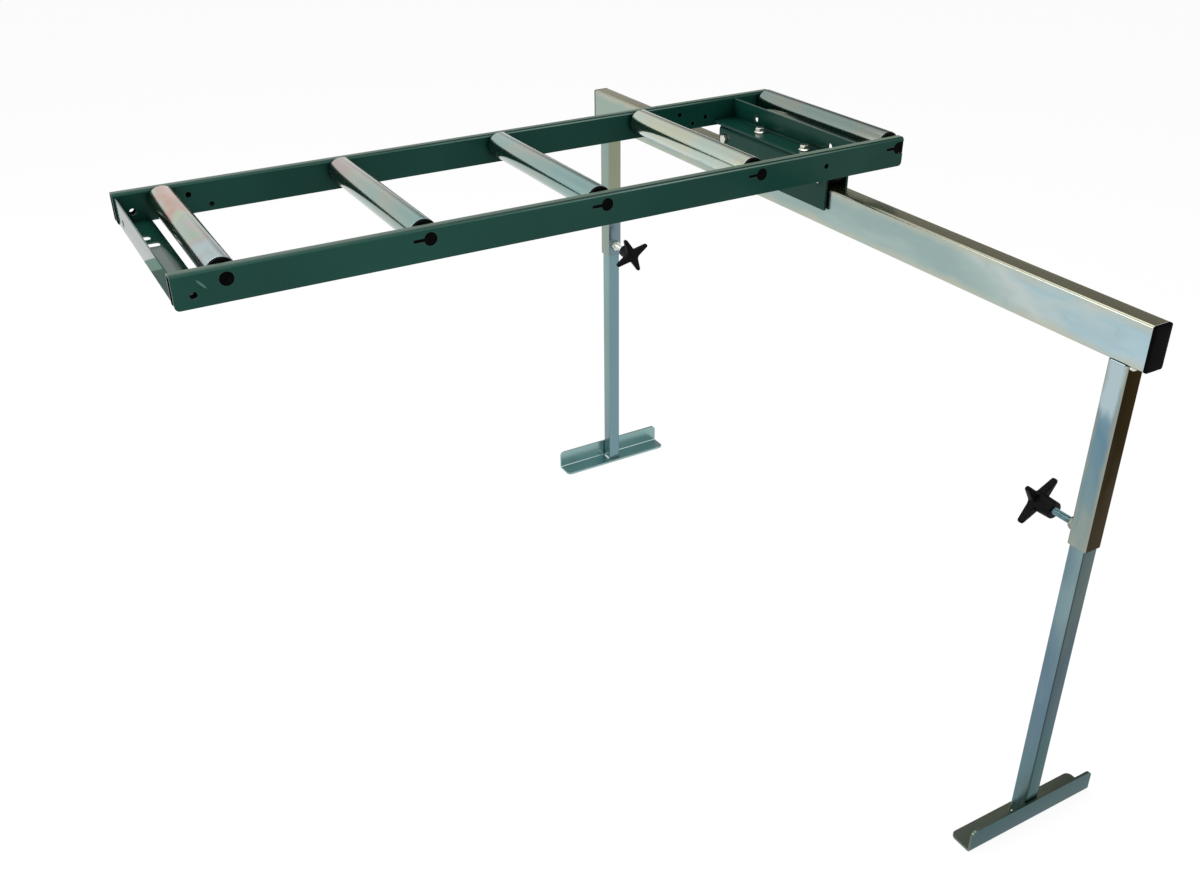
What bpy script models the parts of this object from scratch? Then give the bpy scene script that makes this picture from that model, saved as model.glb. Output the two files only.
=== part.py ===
"""Roller table with a height-adjustable stand, one object per real piece. Metres, Z up.

X runs along the table from the saw end to the stand, Y along the rollers, Z up from the floor.
The origin is on the floor in the middle of the bounding box.
"""
import math

import bmesh
import bpy
from mathutils import Matrix, Vector

# Clearances, and how far a cutter reaches past the wall it cuts
TOUCH = 0.0003
SLIDE_CLEAR = 0.0005
CUT_PAST = 0.004

# Table frame
TABLE_WIDTH = 0.350
RAIL_HEIGHT = 0.043
RAIL_DEPTH = 0.0175
RAIL_SHEET = 0.0025
RAIL_BEND = 0.005
RAIL_CORNER = 0.006
RAIL_TOP = 0.886
PLATE_RISE = 0.0043
END_PLATE_INSET = 0.002
END_PLATE_DEPTH = 0.042
END_SHEET = 0.002
END_BEND = 0.0035
PLATE_SHEET = 0.004
PLATE_BEND = 0.0055
END_SLOT_X = 0.0165
END_SLOT_Y = 0.0165
END_SLOT_FROM_SAW = 0.0228
END_SLOT_FROM_FRONT = 0.2312
END_HOLE_X = 0.0105
END_HOLE_Y = 0.0165
END_HOLE_FROM_SAW = 0.0198
END_HOLE_FROM_FRONT = 0.2605
END_CUT_CORNER = 0.0045
END_BOLT_RADIUS = 0.005
END_BOLT_DROP = 0.0275
END_BOLT_Y = 0.291
CROSS_PLATE_PAST = 0.001
CROSS_HOLE_RADIUS = 0.0055
CROSS_HOLE_DROP = 0.024
CROSS_HOLE_SPREAD = 0.0946

# Rollers
ROLLER_COUNT = 5
ROLLER_PITCH = 0.250
FIRST_ROLLER = 0.0625
RAIL_PAST_LAST_ROLLER = 0.0095
ROLLER_RADIUS = 0.019
ROLLER_WALL = 0.002
ROLLER_INSET = 0.024
ROLLER_DROP = 0.015
CAP_RIM = 0.003
CAP_RIM_UNDER = 0.0006
CAP_PLUG = 0.012
CAP_SLEEVE = 0.0025
CAP_HUB = 0.009
CAP_HUB_PAST = 0.003
AXLE_RADIUS = 0.005
BUSH_RADIUS = 0.0084
BUSH_COLLAR = 0.0102
BUSH_COLLAR_THICK = 0.003
BUSH_NOSE = 0.007
BUSH_FACE = 0.0025
KEY_LENGTH = 0.014
KEY_WIDTH = 0.0036

# Carriage that straddles the beam
SADDLE_INSET = 0.035
SADDLE_SHEET = 0.004
SADDLE_BEND = 0.006
SADDLE_SIDE_CLEAR = 0.0024
SADDLE_DROP = 0.065
WEB_OVER_ROLLER = 0.0017
CARRIAGE_ROLLER_RADIUS = 0.013
CROSS_BOLT_RADIUS = 0.004
CROSS_BOLT_INSET = 0.0165
FRAME_BOLT_RADIUS = 0.004
FRAME_BOLT_SPREAD = 0.0576
FLANGE_RADIUS = 0.0094
FLANGE_RIM = 0.0014
FLANGE_RISE = 0.0032
FLANGE_HEAD = 0.0080
M8_FLATS = 0.013
M8_HEAD = 0.0053
M8_NUT = 0.0068
THREAD_PAST_NUT = 0.003
BOLT_CHAMFER = 0.0008

# Stand
BEAM_WIDTH = 0.030
BEAM_HEIGHT = 0.060
BEAM_WALL = 0.002
BEAM_TUBE = 1.291
BEAM_CORNER = 0.0035
BEAM_CAP = 0.0045
BEAM_CAP_EDGE = 0.0014
BEAM_CAP_STEM = 0.016
BEAM_CAP_STEM_WALL = 0.0022
BEAM_CAP_FLOOR = 0.002
BEAM_CAP_STEM_CORNER = 0.0010
BEAM_BEFORE_LAST_ROLLER = 0.082
TABLE_OFF_CENTRE = 0.074
SOCKET_SIDE = 0.030
SOCKET_WALL = 0.002
SOCKET_CORNER = 0.003
SOCKET_LENGTH = 0.267
LEG_INSET = 0.034
LEG_WALL = 0.002
LEG_CORNER = 0.0025
LEG_OVERLAP = 0.165
FOOT_LENGTH = 0.245
FOOT_FLANGE = 0.039
FOOT_SHEET = 0.004
FOOT_BEND = 0.0055
FOOT_LEG_CLEAR = 0.001
FOOT_CORNER = 0.009

# Leg clamps
CLAMP_RISE = 0.0225
STUD_RADIUS = 0.005
STUD_TIP_RADIUS = 0.0034
STUD_TIP = 0.002
CLAMP_NUT_FLATS = 0.017
CLAMP_NUT_HEIGHT = 0.009
KNOB_REACH = 0.068
KNOB_ARM = 0.038
KNOB_ARM_ROOT = 0.0100
KNOB_ARM_TIP = 0.0043
KNOB_THICK = 0.015
KNOB_HUB_RADIUS = 0.012
KNOB_HUB_LENGTH = 0.022
KNOB_HUB_DRAFT = 0.0015
KNOB_FILLET = 0.008
KNOB_EDGE = 0.0025
KNOB_BORE = 0.018
KNOB_TURN_NEAR = math.radians(42)
KNOB_TURN_FAR = math.radians(25)

# Places worked out from the sizes
LAST_ROLLER = FIRST_ROLLER + (ROLLER_COUNT - 1) * ROLLER_PITCH
RAIL_LENGTH = LAST_ROLLER + RAIL_PAST_LAST_ROLLER
BEAM_FROM_SAW = LAST_ROLLER - BEAM_BEFORE_LAST_ROLLER
OVERALL_X = max(RAIL_LENGTH, BEAM_FROM_SAW + FOOT_LENGTH / 2)
SAW_X = -OVERALL_X / 2
BEAM_X = SAW_X + BEAM_FROM_SAW
TABLE_Y = TABLE_OFF_CENTRE
FRONT_Y = TABLE_Y - TABLE_WIDTH / 2
SADDLE_LENGTH = TABLE_WIDTH - 2 * SADDLE_INSET
RAIL_BASE = RAIL_TOP - RAIL_HEIGHT
ROLLER_Z = RAIL_TOP - ROLLER_DROP
ROLLER_TUBE = TABLE_WIDTH - 2 * ROLLER_INSET
PLATE_BASE = RAIL_BASE + PLATE_RISE
SADDLE_TOP = PLATE_BASE - TOUCH
BEAM_TOP = SADDLE_TOP - SADDLE_SHEET - WEB_OVER_ROLLER - 2 * CARRIAGE_ROLLER_RADIUS - TOUCH
BEAM_BASE = BEAM_TOP - BEAM_HEIGHT
SOCKET_BASE = BEAM_BASE - SOCKET_LENGTH
LEG_SIDE = SOCKET_SIDE - 2 * SOCKET_WALL - 2 * SLIDE_CLEAR
CLAMP_Z = SOCKET_BASE + CLAMP_RISE
SADDLE_HALF = BEAM_WIDTH / 2 + SADDLE_SIDE_CLEAR + SADDLE_SHEET
CROSS_BOLT_Z = BEAM_TOP + TOUCH + CARRIAGE_ROLLER_RADIUS

for old in list(bpy.data.objects):
    bpy.data.objects.remove(old, do_unlink=True)


def material(name, colour, metallic, roughness):
    """Principled material of one plain colour."""
    made = bpy.data.materials.new(name)
    made.use_nodes = True
    shader = made.node_tree.nodes["Principled BSDF"]
    shader.inputs["Base Color"].default_value = (*colour, 1.0)
    shader.inputs["Metallic"].default_value = metallic
    shader.inputs["Roughness"].default_value = roughness
    made.diffuse_color = (*colour, 1.0)
    return made


LOOKS = {
    "paint": ((0.013, 0.055, 0.042), 0.0, 0.35),
    "zinc": ((0.62, 0.64, 0.62), 1.0, 0.25),
    "bright": ((0.70, 0.70, 0.68), 1.0, 0.22),
    "black": ((0.012, 0.012, 0.013), 0.0, 0.45),
    "steel": ((0.50, 0.50, 0.50), 1.0, 0.35),
}


def finish(name, shape, look, smooth=False):
    """Turn a bmesh into a named object that has its own material."""
    bmesh.ops.remove_doubles(shape, verts=shape.verts, dist=1e-7)
    bmesh.ops.recalc_face_normals(shape, faces=shape.faces)
    mesh = bpy.data.meshes.new(name)
    shape.to_mesh(mesh)
    shape.free()
    mesh.shade_smooth() if smooth else mesh.shade_flat()
    if smooth:
        mesh.set_sharp_from_angle(angle=math.radians(35))
    made = bpy.data.objects.new(name, mesh)
    bpy.context.scene.collection.objects.link(made)
    mesh.materials.append(material(name + "_" + look, *LOOKS[look]))
    return made


def helper(name, shape, mode, target):
    """Keep a shape as the hidden operand of a Boolean on the target."""
    bmesh.ops.recalc_face_normals(shape, faces=shape.faces)
    mesh = bpy.data.meshes.new(name)
    shape.to_mesh(mesh)
    shape.free()
    made = bpy.data.objects.new(name, mesh)
    bpy.context.scene.collection.objects.link(made)
    made.hide_render = True
    made.display_type = "WIRE"
    step = target.modifiers.new(name, "BOOLEAN")
    step.operation = mode
    step.solver = "EXACT"
    step.object = made
    return made


def arc(cx, cy, radius, start, stop, steps):
    """Points on a circular arc, both ends included, angles in degrees."""
    turns = [start + (stop - start) * i / steps for i in range(steps + 1)]
    spokes = [(math.cos(math.radians(a)), math.sin(math.radians(a))) for a in turns]
    return [(cx + radius * x, cy + radius * y) for x, y in spokes]


def circle(cx, cy, radius, steps):
    """Closed outline of a circle."""
    return arc(cx, cy, radius, 0, 360, steps)[:-1]


def rounded_box(width, height, radius, steps=4):
    """Outline of a rectangle with round corners, centred."""
    a = width / 2 - radius
    b = height / 2 - radius
    corners = ((a, b, 0), (-a, b, 90), (-a, -b, 180), (a, -b, 270))
    return [p for x, y, turn in corners for p in arc(x, y, radius, turn, turn + 90, steps)]


def shifted(outline, a, b):
    """Outline moved to a new centre."""
    return [(u + a, v + b) for u, v in outline]


def folded(path, sheet, bend, steps=5):
    """Outline of a folded sheet: the path is the outer face and the sheet lies on its left."""
    outer = [path[0]]
    inner = []
    for before, corner, after in zip(path, path[1:], path[2:]):
        back = (Vector(before) - Vector(corner)).normalized()
        ahead = (Vector(after) - Vector(corner)).normalized()
        centre = Vector(corner) + (back + ahead) * bend
        first = math.degrees(math.atan2(-ahead.y, -ahead.x))
        turn = arc(0, 0, 1, first, first + 90, steps)
        outer += [(centre.x + bend * x, centre.y + bend * y) for x, y in turn]
        inner += [(centre.x + (bend - sheet) * x, centre.y + (bend - sheet) * y) for x, y in turn]
    outer.append(path[-1])
    first_run = Vector(path[1]) - Vector(path[0])
    last_run = Vector(path[-1]) - Vector(path[-2])
    inner.insert(0, tuple(Vector(path[0]) + first_run.orthogonal().normalized() * sheet))
    inner.append(tuple(Vector(path[-1]) + last_run.orthogonal().normalized() * sheet))
    return outer + inner[::-1]


AXES = {"X": (1, 2, 0), "Y": (0, 2, 1), "Z": (0, 1, 2)}


def add_prism(shape, outline, along, start, stop):
    """Add an outline, swept from start to stop along one axis, to a bmesh."""
    a, b, c = AXES[along]
    ring = []
    for u, v in outline:
        place = [0.0, 0.0, 0.0]
        place[a] = u
        place[b] = v
        place[c] = start
        ring.append(shape.verts.new(place))
    face = shape.faces.new(ring)
    swept = bmesh.ops.extrude_face_region(shape, geom=[face])
    step = [0.0, 0.0, 0.0]
    step[c] = stop - start
    moved = [item for item in swept["geom"] if isinstance(item, bmesh.types.BMVert)]
    bmesh.ops.translate(shape, verts=moved, vec=step)
    return ring, moved


def prism(outline, along, start, stop):
    """A bmesh with one swept outline."""
    shape = bmesh.new()
    add_prism(shape, outline, along, start, stop)
    return shape


def add_turned(shape, profile, along, centre, steps):
    """Spin a closed profile of (radius, distance along the axis) pairs about an axis through centre."""
    a, b, c = AXES[along]
    corners = []
    for radius, run in profile:
        place = list(centre)
        place[a] += radius
        place[c] += run
        corners.append(shape.verts.new(place))
    edges = [shape.edges.new((p, q)) for p, q in zip(corners, corners[1:] + corners[:1])]
    spin_axis = [0.0, 0.0, 0.0]
    spin_axis[c] = 1.0
    bmesh.ops.spin(shape, geom=corners + edges, cent=centre, axis=spin_axis, angle=2 * math.pi,
                   steps=steps, use_merge=True)
    bmesh.ops.remove_doubles(shape, verts=shape.verts, dist=1e-6)


def turned(profile, along, centre, steps):
    """A bmesh with one turned piece."""
    shape = bmesh.new()
    add_turned(shape, profile, along, centre, steps)
    return shape


def rod(radius, start, stop, chamfer):
    """Profile of a solid bar with chamfered ends."""
    return [(0, start), (radius - chamfer, start), (radius, start + chamfer),
            (radius, stop - chamfer), (radius - chamfer, stop), (0, stop)]


def ring(inner, outer, start, stop, chamfer):
    """Profile of a ring with a chamfer on its outer edges."""
    return [(inner, start), (outer - chamfer, start), (outer, start + chamfer),
            (outer, stop - chamfer), (outer - chamfer, stop), (inner, stop)]


def hexagon(flats, cx, cy, turn=0.0):
    """Outline of a hexagon by its width over the flats."""
    reach = flats / math.sqrt(3)
    return [(cx + reach * math.cos(turn + math.pi / 3 * i), cy + reach * math.sin(turn + math.pi / 3 * i))
            for i in range(6)]


# Side rails: sheet folded to a U that opens downwards, with keyed holes for the axle bushes in the outer wall
def keyed_hole(x, z, keyed, open_to):
    """Outline of an axle hole in the X-Z plane, with a key slot to -X, or open at the rail end to +X."""
    reach = BUSH_RADIUS + TOUCH
    half = KEY_WIDTH / 2 + TOUCH
    side = math.degrees(math.asin(half / reach))
    points = arc(x, z, reach, 90, 180 - side, 4) if keyed else arc(x, z, reach, 90, 180, 5)[:-1]
    if keyed:
        end = x - reach - KEY_LENGTH
        points += arc(end + half, z, half, 90, 270, 4)
    points += arc(x, z, reach, 180 + side, 270, 4) if keyed else arc(x, z, reach, 180, 270, 5)
    if open_to is None:
        points += arc(x, z, reach, 270, 450, 10)[1:-1]
    else:
        points += [(open_to, z - reach), (open_to, z + reach)]
    return points


# Bolt and spare holes of each rail: distance from the saw end or back from the beam, drop and radius
BOLT_HOLES = {
    "front_side_rail": ((0.0232, 0.0273, 0.0045),),
    "rear_side_rail": ((0.0222, 0.0273, 0.0045),),
}
SPARE_FROM_SAW = {
    "front_side_rail": (),
    "rear_side_rail": ((0.0974, 0.0164, 0.003), (0.1264, 0.0341, 0.0028)),
}
SPARE_BEFORE_BEAM = {
    "front_side_rail": ((0.0526, 0.0216, 0.003),),
    "rear_side_rail": ((0.0892, 0.0171, 0.003), (0.0630, 0.0344, 0.0028), (0.0382, 0.0269, 0.003)),
}

END_X = SAW_X + END_PLATE_INSET
ROLLER_X = [SAW_X + FIRST_ROLLER + i * ROLLER_PITCH for i in range(ROLLER_COUNT)]


def inward(side, run):
    """Y of a point that lies run inside the outer face of the front (-1) or rear (1) rail."""
    return TABLE_Y + side * (TABLE_WIDTH / 2 - run)


def side_rail(name, side):
    """One side rail; spare holes are in the front one's outer wall and the rear one's inner wall."""
    path = [(RAIL_DEPTH, RAIL_BASE), (RAIL_DEPTH, RAIL_TOP), (0, RAIL_TOP), (0, RAIL_BASE)]
    section = [(inward(side, u), z) for u, z in folded(path, RAIL_SHEET, RAIL_BEND)]
    far_end = SAW_X + RAIL_LENGTH
    rail = finish(name, prism(section, "X", SAW_X, far_end), "paint")
    outer_wall = (inward(side, -CUT_PAST), inward(side, 2 * RAIL_SHEET))
    inner_wall = (inward(side, RAIL_DEPTH - 2 * RAIL_SHEET), inward(side, RAIL_DEPTH + CUT_PAST))
    both_walls = (outer_wall[0], inner_wall[1])
    holes = bmesh.new()
    for number, x in enumerate(ROLLER_X):
        past_end = far_end + 0.01 if number == ROLLER_COUNT - 1 else None
        add_prism(holes, keyed_hole(x, ROLLER_Z, number > 0, past_end), "Y", *outer_wall)
        add_prism(holes, circle(x, ROLLER_Z, BUSH_NOSE + 2 * TOUCH, 10), "Y", *inner_wall)
    for run, drop, radius in BOLT_HOLES[name]:
        add_prism(holes, circle(SAW_X + run, RAIL_TOP - drop, radius, 10), "Y", *both_walls)
    spare = [(SAW_X + run, drop, radius) for run, drop, radius in SPARE_FROM_SAW[name]]
    spare += [(BEAM_X - run, drop, radius) for run, drop, radius in SPARE_BEFORE_BEAM[name]]
    drilled = outer_wall if side < 0 else inner_wall
    for x, drop, radius in spare:
        add_prism(holes, circle(x, RAIL_TOP - drop, radius, 10), "Y", *drilled)
    low = RAIL_BASE - CUT_PAST
    high = RAIL_BASE + RAIL_CORNER
    for end, way in ((SAW_X, 1), (far_end, -1)):
        out = end - way * CUT_PAST
        inner = end + way * RAIL_CORNER
        round_end = [(inner - way * (x - inner), z) for x, z in arc(inner, high, RAIL_CORNER, 270, 360, 4)]
        corner = [(out, high), (out, low), (inner, low), *round_end]
        add_prism(holes, corner, "Y", *both_walls)
    helper(name + "_holes", holes, "DIFFERENCE", rail)


side_rail("front_side_rail", -1)
side_rail("rear_side_rail", 1)

# End plate: an angle between the rails that bolts to the saw
PLATE_HEIGHT = RAIL_HEIGHT - 2 * PLATE_RISE
PLATE_Y0 = inward(-1, RAIL_DEPTH + TOUCH)
PLATE_Y1 = inward(1, RAIL_DEPTH + TOUCH)
end_path = [(END_X, PLATE_BASE + PLATE_HEIGHT), (END_X, RAIL_BASE), (END_X + END_PLATE_DEPTH, RAIL_BASE)]
end_section = folded(end_path, END_SHEET, END_BEND)
end_plate = finish("saw_end_plate", prism(end_section, "Y", PLATE_Y0, PLATE_Y1), "paint")
slot = rounded_box(END_SLOT_X, END_SLOT_Y, END_CUT_CORNER)
slot = shifted(slot, END_X + END_SLOT_FROM_SAW, FRONT_Y + END_SLOT_FROM_FRONT)
long_hole = rounded_box(END_HOLE_X, END_HOLE_Y, END_CUT_CORNER)
long_hole = shifted(long_hole, END_X + END_HOLE_FROM_SAW, FRONT_Y + END_HOLE_FROM_FRONT)
through_floor = (PLATE_BASE - CUT_PAST, PLATE_BASE + PLATE_SHEET + CUT_PAST)
through_end = (END_X - CUT_PAST, END_X + END_SHEET + CUT_PAST)
bolt_hole = circle(FRONT_Y + END_BOLT_Y, RAIL_TOP - END_BOLT_DROP, END_BOLT_RADIUS, 16)
plate_cuts = bmesh.new()
through_end_floor = (RAIL_BASE - CUT_PAST, RAIL_BASE + END_SHEET + CUT_PAST)
add_prism(plate_cuts, slot, "Z", *through_end_floor)
add_prism(plate_cuts, long_hole, "Z", *through_end_floor)
add_prism(plate_cuts, bolt_hole, "X", *through_end)
helper("saw_end_plate_holes", plate_cuts, "DIFFERENCE", end_plate)

# Cross plate: an angle between the rails that carries the table on the carriage
CROSS_X0 = BEAM_X - SADDLE_HALF
CROSS_X1 = BEAM_X + SADDLE_HALF + CROSS_PLATE_PAST
cross_path = [(CROSS_X0, PLATE_BASE), (CROSS_X1, PLATE_BASE), (CROSS_X1, PLATE_BASE + PLATE_HEIGHT)]
cross_section = folded(cross_path, PLATE_SHEET, PLATE_BEND)
cross_plate = finish("cross_plate", prism(cross_section, "Y", PLATE_Y0, PLATE_Y1), "paint")
FRAME_BOLTS_Y = (TABLE_Y - FRAME_BOLT_SPREAD, TABLE_Y + FRAME_BOLT_SPREAD)
FRAME_HOLE = FRAME_BOLT_RADIUS + TOUCH
cross_cuts = bmesh.new()
for y in FRAME_BOLTS_Y:
    add_prism(cross_cuts, circle(BEAM_X, y, FRAME_HOLE, 16), "Z", *through_floor)
through_back = (CROSS_X1 - PLATE_SHEET - CUT_PAST, CROSS_X1 + CUT_PAST)
for y in (TABLE_Y - CROSS_HOLE_SPREAD, TABLE_Y + CROSS_HOLE_SPREAD):
    add_prism(cross_cuts, circle(y, RAIL_TOP - CROSS_HOLE_DROP, CROSS_HOLE_RADIUS, 16), "X", *through_back)
helper("cross_plate_holes", cross_cuts, "DIFFERENCE", cross_plate)

# Carriage: a channel folded over the beam, hung on two cross bolts with rollers that run on the beam
SADDLE_Y0 = TABLE_Y - SADDLE_LENGTH / 2
SADDLE_Y1 = TABLE_Y + SADDLE_LENGTH / 2
saddle_path = [(BEAM_X + SADDLE_HALF, SADDLE_TOP - SADDLE_DROP), (BEAM_X + SADDLE_HALF, SADDLE_TOP),
               (BEAM_X - SADDLE_HALF, SADDLE_TOP), (BEAM_X - SADDLE_HALF, SADDLE_TOP - SADDLE_DROP)]
saddle_section = folded(saddle_path, SADDLE_SHEET, SADDLE_BEND)
saddle = finish("saddle_channel", prism(saddle_section, "Y", SADDLE_Y0, SADDLE_Y1), "paint")
CROSS_BOLTS_Y = (SADDLE_Y0 + CROSS_BOLT_INSET, SADDLE_Y1 - CROSS_BOLT_INSET)
CROSS_HOLE = CROSS_BOLT_RADIUS + TOUCH
through_web = (SADDLE_TOP - SADDLE_SHEET - CUT_PAST, SADDLE_TOP + CUT_PAST)
through_sides = (BEAM_X - SADDLE_HALF - CUT_PAST, BEAM_X + SADDLE_HALF + CUT_PAST)
saddle_cuts = bmesh.new()
for y in FRAME_BOLTS_Y:
    add_prism(saddle_cuts, circle(BEAM_X, y, FRAME_HOLE, 16), "Z", *through_web)
for y in CROSS_BOLTS_Y:
    add_prism(saddle_cuts, circle(y, CROSS_BOLT_Z, CROSS_HOLE, 16), "X", *through_sides)
helper("saddle_channel_holes", saddle_cuts, "DIFFERENCE", saddle)

# Frame bolts of the carriage: flanged heads on the cross plate, nuts under the web of the saddle
web_under = SADDLE_TOP - SADDLE_SHEET - TOUCH
head_base = PLATE_BASE + PLATE_SHEET + TOUCH


def bolt(name, along, centre, flats, head, shank, turn):
    """Hexagon bolt: head and shank are runs along the axis, shank also gives its radius."""
    a, b, _ = AXES[along]
    block = hexagon(flats, centre[a], centre[b], turn)
    made = finish(name, prism(block, along, *head), "bright")
    spun = turned(rod(shank[2], shank[0], shank[1], BOLT_CHAMFER), along, centre, 16)
    helper(name + "_shank", spun, "UNION", made)
    return made


def nut(name, along, centre, flats, base, top, bore, turn):
    """Hexagon nut with a plain bore."""
    a, b, _ = AXES[along]
    block = hexagon(flats, centre[a], centre[b], turn)
    made = finish(name, prism(block, along, base, top), "bright")
    hole = circle(centre[a], centre[b], bore, 16)
    helper(name + "_bore", prism(hole, along, base - CUT_PAST, top + CUT_PAST), "DIFFERENCE", made)


for label, y in zip(("near", "far"), FRAME_BOLTS_Y):
    place = (BEAM_X, y, 0)
    head = (head_base, head_base + FLANGE_HEAD)
    shank = (web_under - M8_NUT - THREAD_PAST_NUT, head_base + FLANGE_HEAD / 2, FRAME_BOLT_RADIUS)
    made = bolt("frame_bolt_" + label, "Z", place, M8_FLATS, head, shank, 0.3)
    skirt = [(0, head_base), (FLANGE_RADIUS, head_base), (FLANGE_RADIUS, head_base + FLANGE_RIM),
             (M8_FLATS / 2, head_base + FLANGE_RISE), (0, head_base + FLANGE_RISE)]
    helper("frame_bolt_" + label + "_flange", turned(skirt, "Z", place, 20), "UNION", made)
    nut("frame_nut_" + label, "Z", place, M8_FLATS, web_under - M8_NUT, web_under, FRAME_HOLE, 0.0)

# Cross bolts of the carriage, heads on the saw side, with their nuts and the two rollers
head_x = BEAM_X - SADDLE_HALF - TOUCH
nut_x = BEAM_X + SADDLE_HALF + TOUCH
for label, y in zip(("near", "far"), CROSS_BOLTS_Y):
    place = (0, y, CROSS_BOLT_Z)
    head = (head_x - M8_HEAD, head_x)
    shank = (head_x - M8_HEAD / 2, nut_x + M8_NUT + THREAD_PAST_NUT, CROSS_BOLT_RADIUS)
    bolt("cross_bolt_" + label, "X", place, M8_FLATS, head, shank, 0.4)
    nut("cross_nut_" + label, "X", place, M8_FLATS, nut_x, nut_x + M8_NUT, CROSS_HOLE, 0.1)
    half = SADDLE_HALF - SADDLE_SHEET - TOUCH
    sleeve = ring(CROSS_HOLE, CARRIAGE_ROLLER_RADIUS, -half, half, BOLT_CHAMFER)
    wheel = finish("carriage_roller_" + label, turned(sleeve, "X", (0, 0, 0), 24), "black", True)
    wheel.location = (BEAM_X, y, CROSS_BOLT_Z)

# Rollers: steel tube, pressed-in bearing caps of plastic, a fixed axle in keyed bushes
HALF_TUBE = ROLLER_TUBE / 2
BORE = ROLLER_RADIUS - ROLLER_WALL
CAP_FACE = HALF_TUBE + CAP_RIM
OUTER_FACE = TABLE_WIDTH / 2
COLLAR_OUT = OUTER_FACE - RAIL_SHEET - TOUCH
AXLE_END = OUTER_FACE - BUSH_FACE
NOSE_END = CAP_FACE + TOUCH
blind = AXLE_RADIUS + TOUCH
tube_profile = [(BORE, -HALF_TUBE), (ROLLER_RADIUS, -HALF_TUBE), (ROLLER_RADIUS, HALF_TUBE),
                (BORE, HALF_TUBE)]
plug = BORE - TOUCH
rim = ROLLER_RADIUS - CAP_RIM_UNDER
plug_end = HALF_TUBE - CAP_PLUG
hub_end = plug_end - CAP_HUB_PAST
cap_profile = [(blind, CAP_FACE), (rim, CAP_FACE), (rim, HALF_TUBE + TOUCH), (plug, HALF_TUBE + TOUCH),
               (plug, plug_end), (plug - CAP_SLEEVE, plug_end), (plug - CAP_SLEEVE, HALF_TUBE),
               (CAP_HUB, HALF_TUBE), (CAP_HUB, hub_end), (blind, hub_end)]
collar_in = COLLAR_OUT - BUSH_COLLAR_THICK
bush_profile = [(0, OUTER_FACE), (BUSH_RADIUS, OUTER_FACE), (BUSH_RADIUS, COLLAR_OUT),
                (BUSH_COLLAR, COLLAR_OUT), (BUSH_COLLAR, collar_in), (BUSH_NOSE, collar_in),
                (BUSH_NOSE, NOSE_END), (0, NOSE_END)]


def bush_key(side, fills_end):
    """Key blade of a bush, or the blade with the block that fills a slot open to the rail end."""
    half = KEY_WIDTH / 2
    root = -BUSH_RADIUS + 0.002
    tip = -BUSH_RADIUS - KEY_LENGTH
    blade = [(root, half), *arc(tip + half, 0, half, 90, 270, 4), (root, -half)]
    if fills_end:
        past = RAIL_LENGTH - LAST_ROLLER
        wide = BUSH_RADIUS - 0.0002
        blade[-1:] = [(root, -half), (0, -wide), (past, -wide), (past, wide), (0, wide)]
    return prism(blade, "Y", side * (OUTER_FACE - 0.0004), side * (COLLAR_OUT - BUSH_COLLAR_THICK / 2))


for number, x in enumerate(ROLLER_X, 1):
    stem = "roller_%d_" % number
    pieces = [finish(stem + "tube", turned(tube_profile, "Y", (0, 0, 0), 28), "zinc", True)]
    bar = rod(AXLE_RADIUS, -AXLE_END, AXLE_END, BOLT_CHAMFER)
    pieces.append(finish(stem + "axle", turned(bar, "Y", (0, 0, 0), 12), "steel", True))
    for label, side in (("near", -1), ("far", 1)):
        cap = [(r, side * run) for r, run in cap_profile]
        pieces.append(finish(stem + "bearing_cap_" + label, turned(cap, "Y", (0, 0, 0), 12), "black", True))
        stub = [(r, side * run) for r, run in bush_profile]
        bush = finish(stem + "bush_" + label, turned(stub, "Y", (0, 0, 0), 16), "black")
        pieces.append(bush)
        if number > 1:
            key = bush_key(side, number == ROLLER_COUNT)
            pieces.append(helper(stem + "key_" + label, key, "UNION", bush))
        bore = prism(circle(0, 0, blind, 12), "Y", side * (AXLE_END + TOUCH), side * (NOSE_END - CUT_PAST))
        pieces.append(helper(stem + "bush_bore_" + label, bore, "DIFFERENCE", bush))
    for piece in pieces:
        piece.location = (x, TABLE_Y, ROLLER_Z)

# Beam of the stand: rectangular tube with a plastic plug in each end
outer = rounded_box(BEAM_WIDTH, BEAM_HEIGHT, BEAM_CORNER)
inner = rounded_box(BEAM_WIDTH - 2 * BEAM_WALL, BEAM_HEIGHT - 2 * BEAM_WALL, BEAM_CORNER - BEAM_WALL)


def box_tube(name, outside, inside, along, start, stop, look):
    """Hollow section: two swept outlines whose ends are joined by ring faces."""
    shape = bmesh.new()
    walls = [add_prism(shape, line, along, start, stop) for line in (outside, inside)]
    caps = [f for f in shape.faces if len(f.verts) > 4]
    bmesh.ops.delete(shape, geom=caps, context="FACES_ONLY")
    for end in (0, 1):
        first = walls[0][end]
        second = walls[1][end]
        count = len(first)
        for i in range(count):
            j = (i + 1) % count
            shape.faces.new((first[i], first[j], second[j], second[i]))
    return finish(name, shape, look)


beam_mid = BEAM_BASE + BEAM_HEIGHT / 2
box_tube("beam_tube", shifted(outer, BEAM_X, beam_mid), shifted(inner, BEAM_X, beam_mid), "Y",
         -BEAM_TUBE / 2, BEAM_TUBE / 2, "zinc")


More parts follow.
